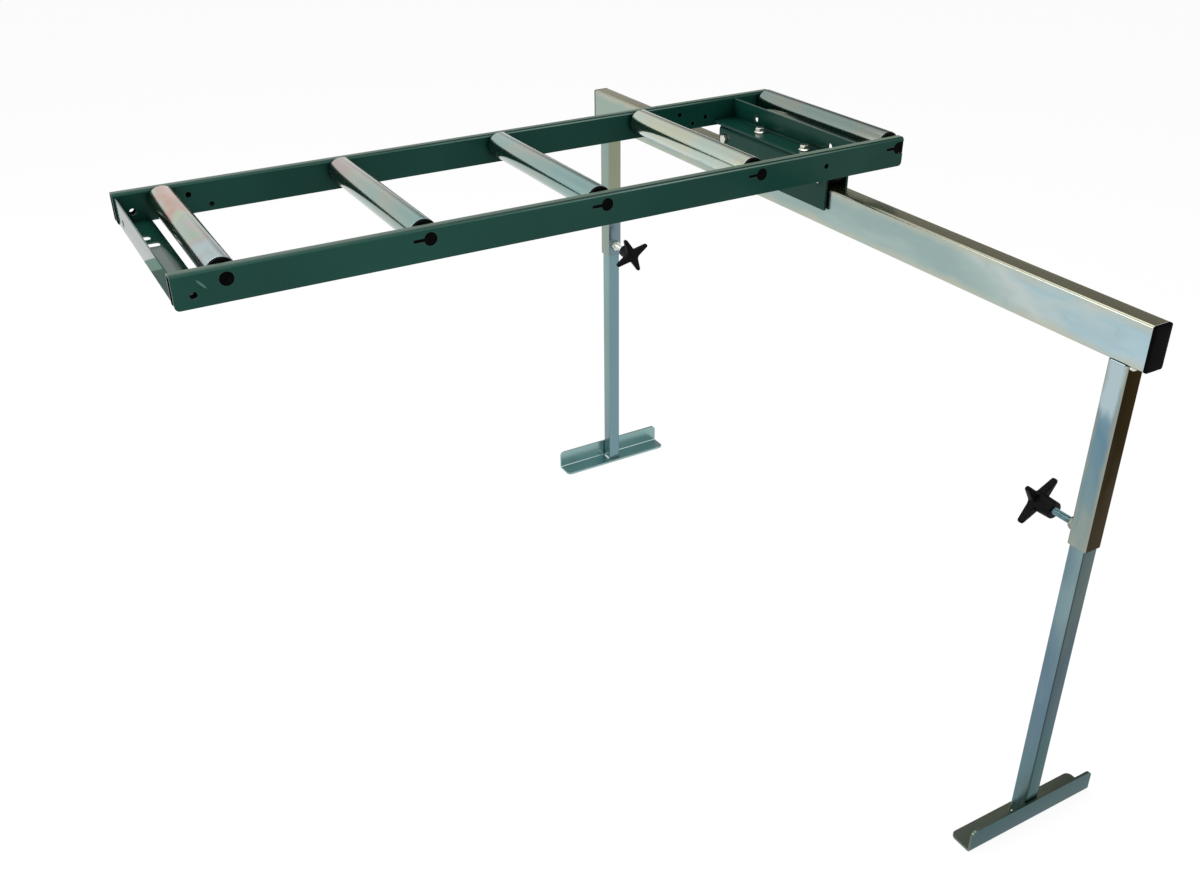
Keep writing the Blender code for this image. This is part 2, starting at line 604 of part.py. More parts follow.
def beam_cap(name, side):
    """Plastic plug: a rounded face plate, then a hollow stem that grips the inside of the tube."""
    inside = side * (BEAM_TUBE / 2 + TOUCH)
    shape = bmesh.new()
    face = shifted(outer, BEAM_X, beam_mid)
    _, plate_far = add_prism(shape, face, "Y", inside, inside + side * (BEAM_CAP - TOUCH))
    rim = {e for v in plate_far for e in v.link_edges if all(q in plate_far for q in e.verts)}
    bmesh.ops.bevel(shape, geom=list(rim), offset=BEAM_CAP_EDGE, segments=2, affect="EDGES", profile=0.6)
    cap = finish(name, shape, "black")
    stem_end = inside - side * BEAM_CAP_STEM
    grip = BEAM_WALL + TOUCH
    stem = rounded_box(BEAM_WIDTH - 2 * grip, BEAM_HEIGHT - 2 * grip, BEAM_CAP_STEM_CORNER, 2)
    stem = prism(shifted(stem, BEAM_X, beam_mid), "Y", stem_end, inside + side * BEAM_CAP_FLOOR / 2)
    helper(name + "_stem", stem, "UNION", cap)
    wall = grip + BEAM_CAP_STEM_WALL
    hollow = rounded_box(BEAM_WIDTH - 2 * wall, BEAM_HEIGHT - 2 * wall, BEAM_CAP_STEM_CORNER, 2)
    hollow = shifted(hollow, BEAM_X, beam_mid)
    hollow = prism(hollow, "Y", stem_end - side * CUT_PAST, inside - side * BEAM_CAP_FLOOR)
    helper(name + "_hollow", hollow, "DIFFERENCE", cap)


beam_cap("beam_end_cap_near", -1)
beam_cap("beam_end_cap_far", 1)

# Legs: square socket under each end of the beam, a telescoping leg tube and a folded foot
SOCKET_TOP = BEAM_BASE - TOUCH
LEG_BASE = FOOT_SHEET + TOUCH
LEG_TOP = SOCKET_BASE + LEG_OVERLAP
LEG_Y = BEAM_TUBE / 2 - LEG_INSET
SOCKET_BORE = SOCKET_SIDE - 2 * SOCKET_WALL
LEG_BORE = LEG_SIDE - 2 * LEG_WALL
socket_out = rounded_box(SOCKET_SIDE, SOCKET_SIDE, SOCKET_CORNER, 3)
socket_in = rounded_box(SOCKET_BORE, SOCKET_BORE, SOCKET_CORNER - SOCKET_WALL, 3)
leg_out = rounded_box(LEG_SIDE, LEG_SIDE, LEG_CORNER, 3)
leg_in = rounded_box(LEG_BORE, LEG_BORE, LEG_CORNER - LEG_WALL, 3)


def foot(name, side):
    """Angle foot with its upright flange on the outside and round free corners."""
    outside = side * (LEG_Y + LEG_SIDE / 2 + FOOT_LEG_CLEAR + FOOT_SHEET)
    path = [(0, FOOT_FLANGE), (0, 0), (FOOT_FLANGE, 0)]
    section = [(outside - side * u, z) for u, z in folded(path, FOOT_SHEET, FOOT_BEND)]
    x0 = BEAM_X - FOOT_LENGTH / 2
    shape = prism(section, "X", x0, x0 + FOOT_LENGTH)
    free = []
    for edge in shape.edges:
        a, b = (v.co for v in edge.verts)
        across = abs(a.x - b.x) < 1e-6 and abs((a - b).length - FOOT_SHEET) < 1e-6
        depth = [side * (outside - v.y) for v in (a, b)]
        if across and (min(depth) > FOOT_FLANGE - 1e-5 or min(a.z, b.z) > FOOT_FLANGE - 1e-5):
            free.append(edge)
    bmesh.ops.bevel(shape, geom=free, offset=FOOT_CORNER, segments=5, affect="EDGES", profile=0.5)
    finish(name, shape, "zinc")


def star_outline():
    """Four arms that taper to round tips, with a fillet between the flanks of neighbours."""
    tip_centre = KNOB_ARM - KNOB_ARM_TIP
    taper = math.asin((KNOB_ARM_ROOT - KNOB_ARM_TIP) / tip_centre)
    lean = math.degrees(taper)
    corner = (KNOB_ARM_ROOT + KNOB_FILLET) / (math.cos(taper) + math.sin(taper))
    arm = arc(tip_centre, 0, KNOB_ARM_TIP, lean - 90, 90 - lean, 6)
    arm += arc(corner, corner, KNOB_FILLET, 270 - lean, 180 + lean, 4)
    turns = [Matrix.Rotation(math.pi / 2 * i, 2) for i in range(4)]
    return [tuple(turn @ Vector(p)) for turn in turns for p in arm]


def star_knob(name, side, turn):
    """Moulded cross handle: soft-edged arms, a hub towards the leg and a blind bore for the stud."""
    shape = prism(star_outline(), "Y", -KNOB_THICK / 2, KNOB_THICK / 2)
    rims = [e for e in shape.edges if abs(e.verts[0].co.y - e.verts[1].co.y) < 1e-9]
    bmesh.ops.bevel(shape, geom=rims, offset=KNOB_EDGE, segments=1, affect="EDGES")
    knob = finish(name, shape, "black", True)
    hub_end = side * (KNOB_THICK / 2 + KNOB_HUB_LENGTH)
    root = -side * KNOB_THICK / 5
    foot_of_hub = hub_end - side * KNOB_HUB_DRAFT
    hub = [(0, root), (KNOB_HUB_RADIUS + KNOB_HUB_DRAFT, root), (KNOB_HUB_RADIUS, foot_of_hub),
           (KNOB_HUB_RADIUS - KNOB_HUB_DRAFT, hub_end), (0, hub_end)]
    joined = helper(name + "_hub", turned(hub, "Y", (0, 0, 0), 24), "UNION", knob)
    hole = circle(0, 0, STUD_RADIUS + TOUCH, 20)
    bore = prism(hole, "Y", hub_end + side * CUT_PAST, hub_end - side * KNOB_BORE)
    bored = helper(name + "_bore", bore, "DIFFERENCE", knob)
    clamp_face = side * (LEG_Y - SOCKET_SIDE / 2)
    place = (BEAM_X, clamp_face - side * KNOB_REACH, CLAMP_Z)
    for item in (knob, joined, bored):
        item.location = place
        item.rotation_euler = (0, -turn, 0)


def leg(label, side, turn):
    """Socket, leg tube, foot and clamp of one side; the clamp faces the middle of the stand."""
    y = side * LEG_Y
    socket_lines = (shifted(socket_out, BEAM_X, y), shifted(socket_in, BEAM_X, y))
    leg_lines = (shifted(leg_out, BEAM_X, y), shifted(leg_in, BEAM_X, y))
    socket = box_tube("leg_socket_" + label, *socket_lines, "Z", SOCKET_BASE, SOCKET_TOP, "zinc")
    box_tube("leg_tube_" + label, *leg_lines, "Z", LEG_BASE, LEG_TOP, "zinc")
    foot("foot_" + label, side)
    wall = y - side * SOCKET_SIDE / 2
    hole = circle(BEAM_X, CLAMP_Z, STUD_RADIUS + TOUCH, 20)
    bore = prism(hole, "Y", wall - side * CUT_PAST, wall + side * (SOCKET_WALL + CUT_PAST))
    helper("socket_bore_" + label, bore, "DIFFERENCE", socket)
    nut_start = wall - side * TOUCH
    nut_end = nut_start - side * CLAMP_NUT_HEIGHT
    block = hexagon(CLAMP_NUT_FLATS, BEAM_X, CLAMP_Z, math.pi / 6)
    welded_nut = finish("clamp_nut_" + label, prism(block, "Y", nut_start, nut_end), "zinc")
    bore = prism(hole, "Y", nut_start + side * CUT_PAST, nut_end - side * CUT_PAST)
    helper("nut_bore_" + label, bore, "DIFFERENCE", welded_nut)
    tip = side * (LEG_Y - LEG_SIDE / 2 - TOUCH)
    hub_mouth = wall - side * (KNOB_REACH - KNOB_THICK / 2 - KNOB_HUB_LENGTH)
    length = abs(tip - hub_mouth) + KNOB_BORE - TOUCH
    bar = [(0, 0), (STUD_TIP_RADIUS, 0), (STUD_TIP_RADIUS, STUD_TIP),
           (STUD_RADIUS, STUD_TIP + STUD_RADIUS - STUD_TIP_RADIUS), (STUD_RADIUS, length - BOLT_CHAMFER),
           (STUD_RADIUS - BOLT_CHAMFER, length), (0, length)]
    spun = turned([(r, -side * run) for r, run in bar], "Y", (0, 0, 0), 20)
    stud = finish("clamp_stud_" + label, spun, "bright", True)
    stud.location = (BEAM_X, tip, CLAMP_Z)
    star_knob("star_knob_" + label, side, turn)


leg("near", -1, KNOB_TURN_NEAR)
leg("far", 1, KNOB_TURN_FAR)
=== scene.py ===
# %% [markdown]
# # A roller table, dressed for its photograph
# The solids of the table are already packed as a fixed frame. This lesson lays finer surfaces over
# them, gives every piece the finish of the real one, and then sets light and camera as in a small
# studio.

# %% Load the frame
import math

import bmesh
import bpy
import numpy as np
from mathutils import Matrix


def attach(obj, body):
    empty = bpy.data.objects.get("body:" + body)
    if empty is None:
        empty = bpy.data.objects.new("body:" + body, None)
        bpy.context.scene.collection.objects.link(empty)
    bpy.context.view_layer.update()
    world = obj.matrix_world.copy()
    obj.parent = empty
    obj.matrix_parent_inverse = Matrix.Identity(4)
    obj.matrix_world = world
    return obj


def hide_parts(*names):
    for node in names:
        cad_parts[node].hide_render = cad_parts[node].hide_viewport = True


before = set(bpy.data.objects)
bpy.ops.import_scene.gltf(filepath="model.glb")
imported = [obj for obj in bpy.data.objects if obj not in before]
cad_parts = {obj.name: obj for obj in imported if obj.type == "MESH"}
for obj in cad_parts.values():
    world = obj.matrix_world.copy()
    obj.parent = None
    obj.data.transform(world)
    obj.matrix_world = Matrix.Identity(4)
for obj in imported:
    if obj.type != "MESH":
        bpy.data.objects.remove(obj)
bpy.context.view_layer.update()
scene = bpy.context.scene
scene.view_settings.view_transform = "Standard"

# %% [markdown]
# ## Sizes
# All lengths are metres: X runs from the saw end to the stand, Y along the rollers and the beam, Z up.

# %% Sizes of the table and the stand
GAP = 0.0003
SAW_X, TABLE_Y, RAIL_TOP = -0.5515, 0.074, 0.886
FRONT_Y, REAR_Y = TABLE_Y - 0.175, TABLE_Y + 0.175
RAIL_LENGTH, RAIL_HEIGHT, RAIL_DEPTH = 1.072, 0.043, 0.0175
RAIL_SHEET, RAIL_BEND, RAIL_CORNER, SHEET = 0.0025, 0.005, 0.006, 0.004
RAIL_BASE = RAIL_TOP - RAIL_HEIGHT
ROLLER_Z = RAIL_TOP - 0.015
ROLLER_X = SAW_X + 0.0625 + 0.25 * np.arange(5)
BEAM_X, BEAM_TOP, BEAM_BASE, BEAM_HALF = SAW_X + 0.9805, 0.815, 0.755, 0.6455
BEAM_WIDTH, BEAM_HEIGHT, BEAM_CORNER = 0.03, 0.06, 0.0035
BEAM_MID = (BEAM_TOP + BEAM_BASE) / 2
LEG_Y, LEG_BASE, LEG_TOP, SOCKET_BASE = 0.6115, 0.0043, 0.653, 0.488
SOCKET_WIDTH, LEG_WIDTH, TUBE_WALL = 0.03, 0.025, 0.002
SOCKET_IN, LEG_IN = LEG_Y - SOCKET_WIDTH / 2, LEG_Y - LEG_WIDTH / 2
CLAMP_Z = 0.5105
SIDES = (("near", -1), ("far", 1))
print("rollers at X =", np.round(ROLLER_X, 3))

# %% [markdown]
# ## Tools for finishes
# A finish is a small tree of shader nodes. A few helpers keep the trees short to write: one adds a
# node and fills or links its sockets, one starts a material and one ends it. Those that get a socket
# find its tree by it. All patterns read Object coordinates. Every piece sits at the origin with its
# place in its mesh, so those coordinates are metres in the table's own frame.

# %% Node helpers
UP, FRONT, SAW_SIDE = (0.0, 0.0, 1.0), (0.0, -1.0, 0.0), (-1.0, 0.0, 0.0)
ALONG_X, ALONG_Y = (1.0, 0.0, 0.0), (0.0, 1.0, 0.0)
WHITE = (1.0, 1.0, 1.0)


def add(tree, kind, sockets=None, **settings):
    """Add a shader node; a value that is itself a socket is linked, anything else is set."""
    made = tree.nodes.new("ShaderNode" + kind)
    for key, value in settings.items():
        setattr(made, key, value)
    for key, value in (sockets or {}).items():
        if isinstance(value, bpy.types.NodeSocket):
            tree.links.new(value, made.inputs[key])
        else:
            made.inputs[key].default_value = value
    return made


def start(name, metallic, **plain):
    """A new material with its Principled shader, and the plain values that are the same all over."""
    made = bpy.data.materials.new(name)
    made.use_nodes = True
    shader = made.node_tree.nodes["Principled BSDF"]
    shader.inputs["Metallic"].default_value = metallic
    for key, value in plain.items():
        shader.inputs[key.replace("_", " ")].default_value = value
    return made, made.node_tree, shader


def dress(tree, shader, tone, rough, height, strength, distance):
    """End a material: link its tone, its roughness and a bump from a height."""
    bump = add(tree, "Bump", {"Strength": strength, "Distance": distance, "Height": height})
    tree.links.new(tone, shader.inputs["Base Color"])
    tree.links.new(rough, shader.inputs["Roughness"])
    tree.links.new(bump.outputs[0], shader.inputs["Normal"])


def noise(tree, scale, detail, stretch=(1, 1, 1), place=(0, 0, 0)):
    """Noise on Object coordinates, squeezed or stretched along the axes."""
    coords = add(tree, "TexCoord").outputs["Object"]
    mapped = add(tree, "Mapping", {"Vector": coords, "Scale": stretch, "Location": place})
    sockets = {"Vector": mapped.outputs[0], "Scale": scale, "Detail": detail}
    return add(tree, "TexNoise", sockets).outputs["Fac"]


def ramp(value, stops):
    """Colour ramp from a list of (place, colour) stops; a plain number is taken as a grey."""
    made = add(value.id_data, "ValToRGB", {"Fac": value})
    line = made.color_ramp.elements
    while len(line) < len(stops):
        line.new(0.5)
    for stop, (place, colour) in zip(line, stops):
        stop.position = place
        rgb = (colour,) * 3 if isinstance(colour, (int, float)) else colour
        stop.color = (*rgb, 1.0)
    return made.outputs["Color"]


def mixed(share, first, second, kind="MIX"):
    """Mix a tone with a second one or a plain tint, by a share that may be a socket or a number."""
    tint = second if isinstance(second, bpy.types.NodeSocket) else (*second, 1.0)
    sockets = {0: share, 6: first, 7: tint}
    return add(first.id_data, "Mix", sockets, data_type="RGBA", blend_type=kind).outputs[2]


def maths(operation, *values):
    """One sum of a socket and other sockets or numbers, such as ADD, MULTIPLY or ABSOLUTE."""
    return add(values[0].id_data, "Math", dict(enumerate(values)), operation=operation).outputs[0]


def share_of(value, none, full):
    """How far a value has gone from one bound to another, kept between 0 and 1."""
    sockets = {"Value": value, "From Min": none, "From Max": full}
    return add(value.id_data, "MapRange", sockets).outputs[0]


def weighed(value, factor, plus=0.0):
    """A value times a factor plus an offset."""
    return maths("MULTIPLY_ADD", value, factor, plus)


def dot(first, second):
    """Dot product of two directions."""
    sockets = {0: first, 1: second}
    return add(first.id_data, "VectorMath", sockets, operation="DOT_PRODUCT").outputs["Value"]


def walk(tree, way):
    """How far a point lies along a direction of the table's own frame."""
    return dot(add(tree, "TexCoord").outputs["Object"], way)


def aside(tree, way, middle):
    """How far a point lies to either side of a place along a direction."""
    return maths("ABSOLUTE", maths("SUBTRACT", walk(tree, way), middle))


def facing(way, tint, tone, stops=((0.75, 0.0), (0.97, 1.0))):
    """Lay a tint on the faces that look one way, by the normal's part in that direction."""
    normal = add(tone.id_data, "TexCoord").outputs["Normal"]
    return mixed(ramp(dot(normal, way), stops), tone, tint)


def edge_wear(tree, reach, most):
    """Share of wear on outer edges: how far a softened normal leaves the true one in a short reach."""
    soft = add(tree, "Bevel", {"Radius": reach}, samples=4).outputs[0]
    true = add(tree, "NewGeometry").outputs["Normal"]
    return maths("MULTIPLY", share_of(dot(soft, true), 0.985, 0.8), most)


def times(tint, factor):
    """A colour with all three parts times a factor."""
    return tuple(factor * part for part in tint)


print("node helpers ready")

# %% [markdown]
# ## Green paint
# The frame is powder coated in a dark bluish green. Such a coat is a little uneven: it has a fine orange
# peel, the gloss varies, and it is thinner and paler along the outer edges. One long noise gives the slow
# changes, a fine one the peel, and the softened normal marks the edges. A slope along X darkens the coat
# towards the stand end, and ambient occlusion darkens its corners and hollows: both are painted shade.
#
# The marks come on top. The rail tops carry a paler painted reflection, and the fold a painted dark line
# and a painted highlight line. The front rail has a scuff near the saw end, the rear one is darkened all
# over as painted shade, and the inside of both is painted dark as shade. The end plate is glossier and
# dulls in steps towards the front, with a painted sheen on its middle step.

# %% Marks on the paint
# Painted light on the rail tops: a paler painted reflection on the flat, a painted dark line and a painted
# highlight line on the fold.
PAINTED_TOP_REFLECTION = [(0.12, (0.045, 0.08, 0.06)), (0.4, (0.066, 0.102, 0.079)), (0.68, (0.07, 0.106, 0.082)),
    (0.92, (0.11, 0.15, 0.115))]
PAINTED_FOLD_SHADE = [(0.15, (0.016, 0.052, 0.04)), (0.4, (0.003, 0.018, 0.013)), (0.95, (0.003, 0.018, 0.013))]
PAINTED_FOLD_HIGHLIGHT = [(0.2, (0.016, 0.056, 0.043)), (0.4, (0.034, 0.082, 0.066)), (0.62, (0.12, 0.18, 0.16)),
    (0.75, (0.1, 0.15, 0.13)), (0.9, (0.014, 0.05, 0.038))]
FOLD_START, FOLD_MIDDLE = (0.0, -0.42, 0.907), (0.0, -0.82, 0.572)
# The inside tint is painted shade for the inside of a rail.
SCUFF_TINT, PAINTED_INSIDE_SHADE = (0.105, 0.17, 0.15), (0.0006, 0.0016, 0.0012)
# The step tint is a painted sheen on the middle step of the end plate's upright.
PAINTED_STEP_SHEEN = (0.02, 0.1, 0.062)


def rail_tops(tree, tone):
    """Painted reflection on the flat tops, a painted dark line and a painted highlight line on the fold,
    each by the place along X.
    """
    patchy = weighed(noise(tree, 7.0, 3.0, (1, 4, 1)), 0.3)
    place = maths("ADD", weighed(walk(tree, ALONG_X), 0.91, 0.35), patchy)
    high = share_of(walk(tree, UP), RAIL_TOP - 0.006, RAIL_TOP - 0.001)
    top_reflection = mixed(high, tone, ramp(place, PAINTED_TOP_REFLECTION))
    fold_shade, fold_highlight = ramp(place, PAINTED_FOLD_SHADE), ramp(place, PAINTED_FOLD_HIGHLIGHT)
    tone = facing(UP, top_reflection, tone, ((0.86, 0.0), (0.97, 1.0)))
    tone = facing(FOLD_START, fold_shade, tone, ((0.955, 0.0), (0.985, 1.0)))
    return facing(FOLD_MIDDLE, fold_highlight, tone, ((0.975, 0.0), (0.995, 1.0)))


def scuffed(tree, tone, centre, lean, half_length, half_width):
    """One long scratch on the front: an ellipse, where the squares of both shares sum to under one."""
    cosine, sine = math.cos(math.radians(lean)), math.sin(math.radians(lean))
    squares = []
    for x, z, half in ((cosine, sine, half_length), (-sine, cosine, half_width)):
        offset = x * centre[0] + z * centre[1]
        share = weighed(walk(tree, (x, 0.0, z)), 1 / half, -offset / half)
        squares.append(maths("POWER", share, 2.0))
    mark = ramp(maths("ADD", *squares), [(0.35, 0.6), (1.0, 0.0)])
    return facing(FRONT, mixed(mark, tone, SCUFF_TINT), tone)


def shaded_inside(tree, tone, middle):
    """Painted shade inside a rail: the points between its two walls and under its top are darkened."""
    between = share_of(aside(tree, ALONG_Y, middle), 0.0078, 0.0074)
    under = share_of(walk(tree, UP), RAIL_TOP - 0.0018, RAIL_TOP - 0.0022)
    return mixed(maths("MULTIPLY", between, under), tone, PAINTED_INSIDE_SHADE)


def stepped_gloss(tree, tone, rough):
    """End plate: two slanting steps of gloss on its upright with a painted sheen on the middle step, a slow
    change on its floor.
    """
    near = share_of(walk(tree, (0.0, 1.0, 2.64)), 2.327, 2.247)
    middle = ramp(near, [(0.23, 0.0), (0.27, 1.0), (0.72, 1.0), (0.78, 0.0)])
    # The middle step gets a painted sheen.
    tone = facing(SAW_SIDE, mixed(middle, tone, PAINTED_STEP_SHEEN), tone)
    dull = ramp(near, [(0.23, 0.0), (0.27, 0.5), (0.72, 0.5), (0.78, 1.0)])
    slow = share_of(walk(tree, ALONG_Y), 0.025, -0.045)
    upright, level = mixed(dull, rough, WHITE), mixed(slow, rough, WHITE)
    return tone, facing(SAW_SIDE, upright, level)


print("marks ready")

# %% Make the paint
DEEP_GREEN, PALE_GREEN = (0.0036, 0.031, 0.023), (0.0064, 0.043, 0.0325)
DUST_TINT, RUBBED_TINT = (0.034, 0.08, 0.067), (0.055, 0.1, 0.08)
# Painted shade for corners and hollows of the coat.
PAINTED_CORNER_SHADE = (0.0012, 0.006, 0.0045)


def green_paint(name, shine, gloss, depth=1.0, stepped=False, scuff=None, inside=None):
    """Powder coat: slow tone changes with painted shade deepening towards the stand end, dust, marks, pale
    edges, painted shade in the corners and orange peel.
    """
    made, tree, shader = start(name, 0.0, IOR=1.5, Specular_IOR_Level=shine)
    # The slope along -X is painted shade: the coat grows darker towards the stand end.
    slow = maths("ADD", noise(tree, 5.0, 2.0), walk(tree, (-0.3, 0.0, 0.0)))
    tone = ramp(slow, [(0.3, times(DEEP_GREEN, depth)), (0.7, times(PALE_GREEN, depth))])
    dust = ramp(noise(tree, 260.0, 1.0), [(0.76, 0.0), (0.84, 0.2)])
    tone = mixed(dust, tone, DUST_TINT)
    if not stepped:
        tone = rail_tops(tree, tone)
    if scuff:
        tone = scuffed(tree, tone, *scuff)
    # Painted shade inside the rails.
    if inside is not None:
        tone = shaded_inside(tree, tone, inside)
    tone = mixed(edge_wear(tree, 0.0011, 0.5), tone, RUBBED_TINT)
    # Ambient occlusion darkens corners, folds and hollows: painted shade.
    hidden = add(tree, "AmbientOcclusion", {"Distance": 0.022}, samples=4).outputs["AO"]
    corners = ramp(hidden, [(0.42, 0.97), (0.66, 0.3), (0.85, 0.0)])
    tone = mixed(corners, tone, PAINTED_CORNER_SHADE)
    rough = ramp(noise(tree, 24.0, 3.0), [(0.3, gloss[0]), (0.7, gloss[1])])
    if stepped:
        tone, rough = stepped_gloss(tree, tone, rough)
    dress(tree, shader, tone, rough, noise(tree, 700.0, 2.0), 0.04, 0.0004)
    return made


RAIL_GLOSS, PLATE_GLOSS = (0.17, 0.23), (0.08, 0.12)
SCUFF = ((-0.518, 0.8703), -49.0, 0.009, 0.0015)
GREEN = green_paint("green_powder_coat", 0.12, RAIL_GLOSS, scuff=SCUFF, inside=FRONT_Y + RAIL_DEPTH / 2)
# The rear rail takes the same coat at 0.76 of its tone: a darker copy as painted shade.
GREEN_REAR_SHADED = green_paint("green_rear_rail_shaded_coat", 0.08, RAIL_GLOSS, 0.76, inside=REAR_Y - RAIL_DEPTH / 2)
GREEN_GLOSS = green_paint("green_gloss_coat", 0.5, PLATE_GLOSS, stepped=True)
print("made", GREEN.name, "and", GREEN_REAR_SHADED.name, "and", GREEN_GLOSS.name)

# %% [markdown]
# ## Zinc plate
# Rollers, beam, legs and feet are steel with bright zinc plate. The passivation leaves a faint rainbow:
# cool blue and green, straw and pink, in long soft clouds along the drawn tube, with fine drawing lines in
# the gloss. Each member gets its own clouds, stretched along its length, so no two look alike. Tints on
# fronts, tops and bends and straw bands along edges are painted reflections, painted shade and painted
# highlights, and the near foot, stud and nut are darker copies as painted shade.

# %% Tints of the clouds
BEAM_TINTS = [(0.26, (0.44, 0.59, 0.65)), (0.31, (0.38, 0.52, 0.56)), (0.35, (0.51, 0.58, 0.56)),
    (0.39, (0.39, 0.49, 0.47)), (0.45, (0.31, 0.42, 0.4)), (0.62, (0.32, 0.42, 0.39)),
    (0.74, (0.33, 0.42, 0.35))]
NEAR_SOCKET_TINTS = [(0.22, (0.33, 0.35, 0.29)), (0.32, (0.22, 0.3, 0.3)), (0.39, (0.18, 0.28, 0.31)),
    (0.56, (0.13, 0.24, 0.31)), (0.63, (0.17, 0.28, 0.34)), (0.72, (0.42, 0.53, 0.57))]
# The front tints are painted reflections on the faces towards the front, dark on the near socket, leg and
# foot.
NEAR_SOCKET_PAINTED_FRONT = [(0.32, (0.032, 0.028, 0.021)), (0.44, (0.026, 0.023, 0.015)),
    (0.58, (0.012, 0.009, 0.005)), (0.74, (0.013, 0.009, 0.003))]
FAR_SOCKET_TINTS = [(0.25, (0.25, 0.31, 0.27)), (0.5, (0.27, 0.35, 0.3)), (0.75, (0.25, 0.36, 0.33))]
FAR_SOCKET_PAINTED_FRONT = [(0.42, (0.16, 0.23, 0.26)), (0.47, (0.17, 0.235, 0.26)), (0.53, (0.25, 0.275, 0.195)),
    (0.62, (0.24, 0.265, 0.19))]
NEAR_LEG_TINTS = [(0.22, (0.1, 0.165, 0.155)), (0.34, (0.11, 0.19, 0.22)), (0.52, (0.12, 0.195, 0.25)),
    (0.64, (0.15, 0.24, 0.28)), (0.76, (0.21, 0.31, 0.33))]
NEAR_LEG_PAINTED_FRONT = [(0.28, (0.016, 0.083, 0.08)), (0.38, (0.022, 0.088, 0.106)), (0.5, (0.036, 0.082, 0.1)),
    (0.6, (0.044, 0.078, 0.1)), (0.7, (0.066, 0.107, 0.102))]
FAR_LEG_TINTS = [(0.25, (0.15, 0.24, 0.25)), (0.42, (0.18, 0.27, 0.28)), (0.58, (0.21, 0.32, 0.3)),
    (0.75, (0.23, 0.37, 0.36))]
FAR_LEG_PAINTED_FRONT, NEAR_FOOT_PAINTED_FRONT = (0.165, 0.27, 0.305), (0.01, 0.064, 0.071)
# The near foot's tints are a darker copy of the far foot's zinc: painted shade.
NEAR_FOOT_SHADED_TINTS = [(0.3, (0.095, 0.13, 0.105)), (0.7, (0.165, 0.19, 0.145))]
FAR_FOOT_TINTS = [(0.3, (0.24, 0.39, 0.38)), (0.55, (0.28, 0.43, 0.43)), (0.75, (0.32, 0.42, 0.39))]
BRIGHT_TINTS = [(0.3, (0.6, 0.63, 0.61)), (0.7, (0.72, 0.7, 0.58))]
# The near stud and near nut tints are darker copies of the bright fastener zinc: painted shade.
SHADED_STUD_TINTS = [(0.3, (0.15, 0.26, 0.29)), (0.7, (0.24, 0.37, 0.4))]
SHADED_NUT_TINTS = [(0.3, (0.09, 0.11, 0.09)), (0.7, (0.15, 0.17, 0.14))]
AXLE_TINTS = [(0.3, (0.44, 0.44, 0.44)), (0.7, (0.52, 0.52, 0.51))]
ROSY = [(0.22, (0.98, 1.3, 1.26)), (0.33, (0.9, 1.06, 1.1)), (0.38, (0.92, 0.92, 0.92)),
    (0.43, (0.95, 0.9, 0.82)), (0.48, (0.82, 1.0, 0.84)), (0.53, (0.76, 0.94, 0.78)),
    (0.59, (0.92, 1.05, 0.72)), (0.64, (0.9, 0.94, 0.76)), (0.72, (1.07, 0.64, 0.5)),
    (0.8, (0.84, 0.62, 0.48))]
TEAL = [(0.3, (0.7, 1.08, 1.04)), (0.46, (0.8, 1.08, 1.0)), (0.58, (0.98, 1.06, 0.92)),
    (0.7, (1.06, 0.9, 0.84))]
COOL = [(0.26, (0.78, 1.06, 1.0)), (0.4, (0.86, 1.06, 0.94)), (0.52, (0.93, 1.06, 0.92)),
    (0.64, (1.0, 1.04, 0.8)), (0.76, (0.9, 0.92, 0.95))]
GRIME_TINT = (0.2, 0.21, 0.18)
print("roller tints:", len(ROSY), "rosy,", len(TEAL), "teal,", len(COOL), "cool")

# %% Make the zinc finishes
LEFT_EDGE, BEAM_EDGE, FOOT_EDGE = (-0.707, -0.707, 0), (-0.707, 0, 0.707), (0, -0.707, 0.707)


def zinc(name, along, tints, cloud=14.0, long_way=0.35, rough=(0.2, 0.28), place=(0, 0, 0), depth=1.0,
        drift=None, start_at=0.0, front=None, top=None, straw=None, bend=None, glance=WHITE):
    """Plated steel: tint clouds and lines along one axis; painted reflections and shade on front, top and
    bend faces, and straw edge bands as painted highlight.
    """
    made, tree, shader = start(name, 1.0, Specular_Tint=(*glance, 1.0))
    axis = "XYZ".index(along)
    cloudy, lined = [1.0, 1.0, 1.0], [1.0, 1.0, 1.0]
    cloudy[axis], lined[axis] = long_way, 0.012
    field = noise(tree, cloud, 3.0, cloudy, place)
    clouds = weighed(field, depth, 0.5 - 0.5 * depth + start_at)
    if drift:
        clouds = maths("ADD", clouds, walk(tree, drift))
    tone = ramp(clouds, tints)
    # Straw bands along the edges are a painted highlight.
    if straw:
        across, middle, half, tint = straw
        patchy = weighed(noise(tree, 26.0, 3.0, (1, 0.5, 1)), 0.9, -0.45)
        reach = weighed(aside(tree, across, middle), 1.0 / half, patchy)
        tone = mixed(ramp(reach, [(0.55, 0.0), (0.95, 0.75)]), tone, tint)
    drawn = noise(tree, 900.0, 2.0, lined, place)
    tone = mixed(1.0, tone, ramp(drawn, [(0.25, 0.94), (0.75, 1.0)]), "MULTIPLY")
    grime = ramp(noise(tree, 34.0, 5.0, place=place), [(0.62, 0.0), (0.82, 0.22)])
    tone = mixed(grime, tone, GRIME_TINT)
    # Front, top and bend tints are painted reflections and painted shade, set by which way a face looks.
    if front:
        painted_front = ramp(clouds, front) if isinstance(front, list) else front
        tone = facing(FRONT, painted_front, tone)
    if top:
        tone = facing(UP, top, tone)
    if bend:
        tone = facing(*bend, tone, ((0.93, 0.0), (0.985, 1.0)))
    gloss = ramp(drawn, [(0.2, rough[0]), (0.8, rough[1])])
    dress(tree, shader, tone, gloss, drawn, 0.02, 0.0003)
    return made


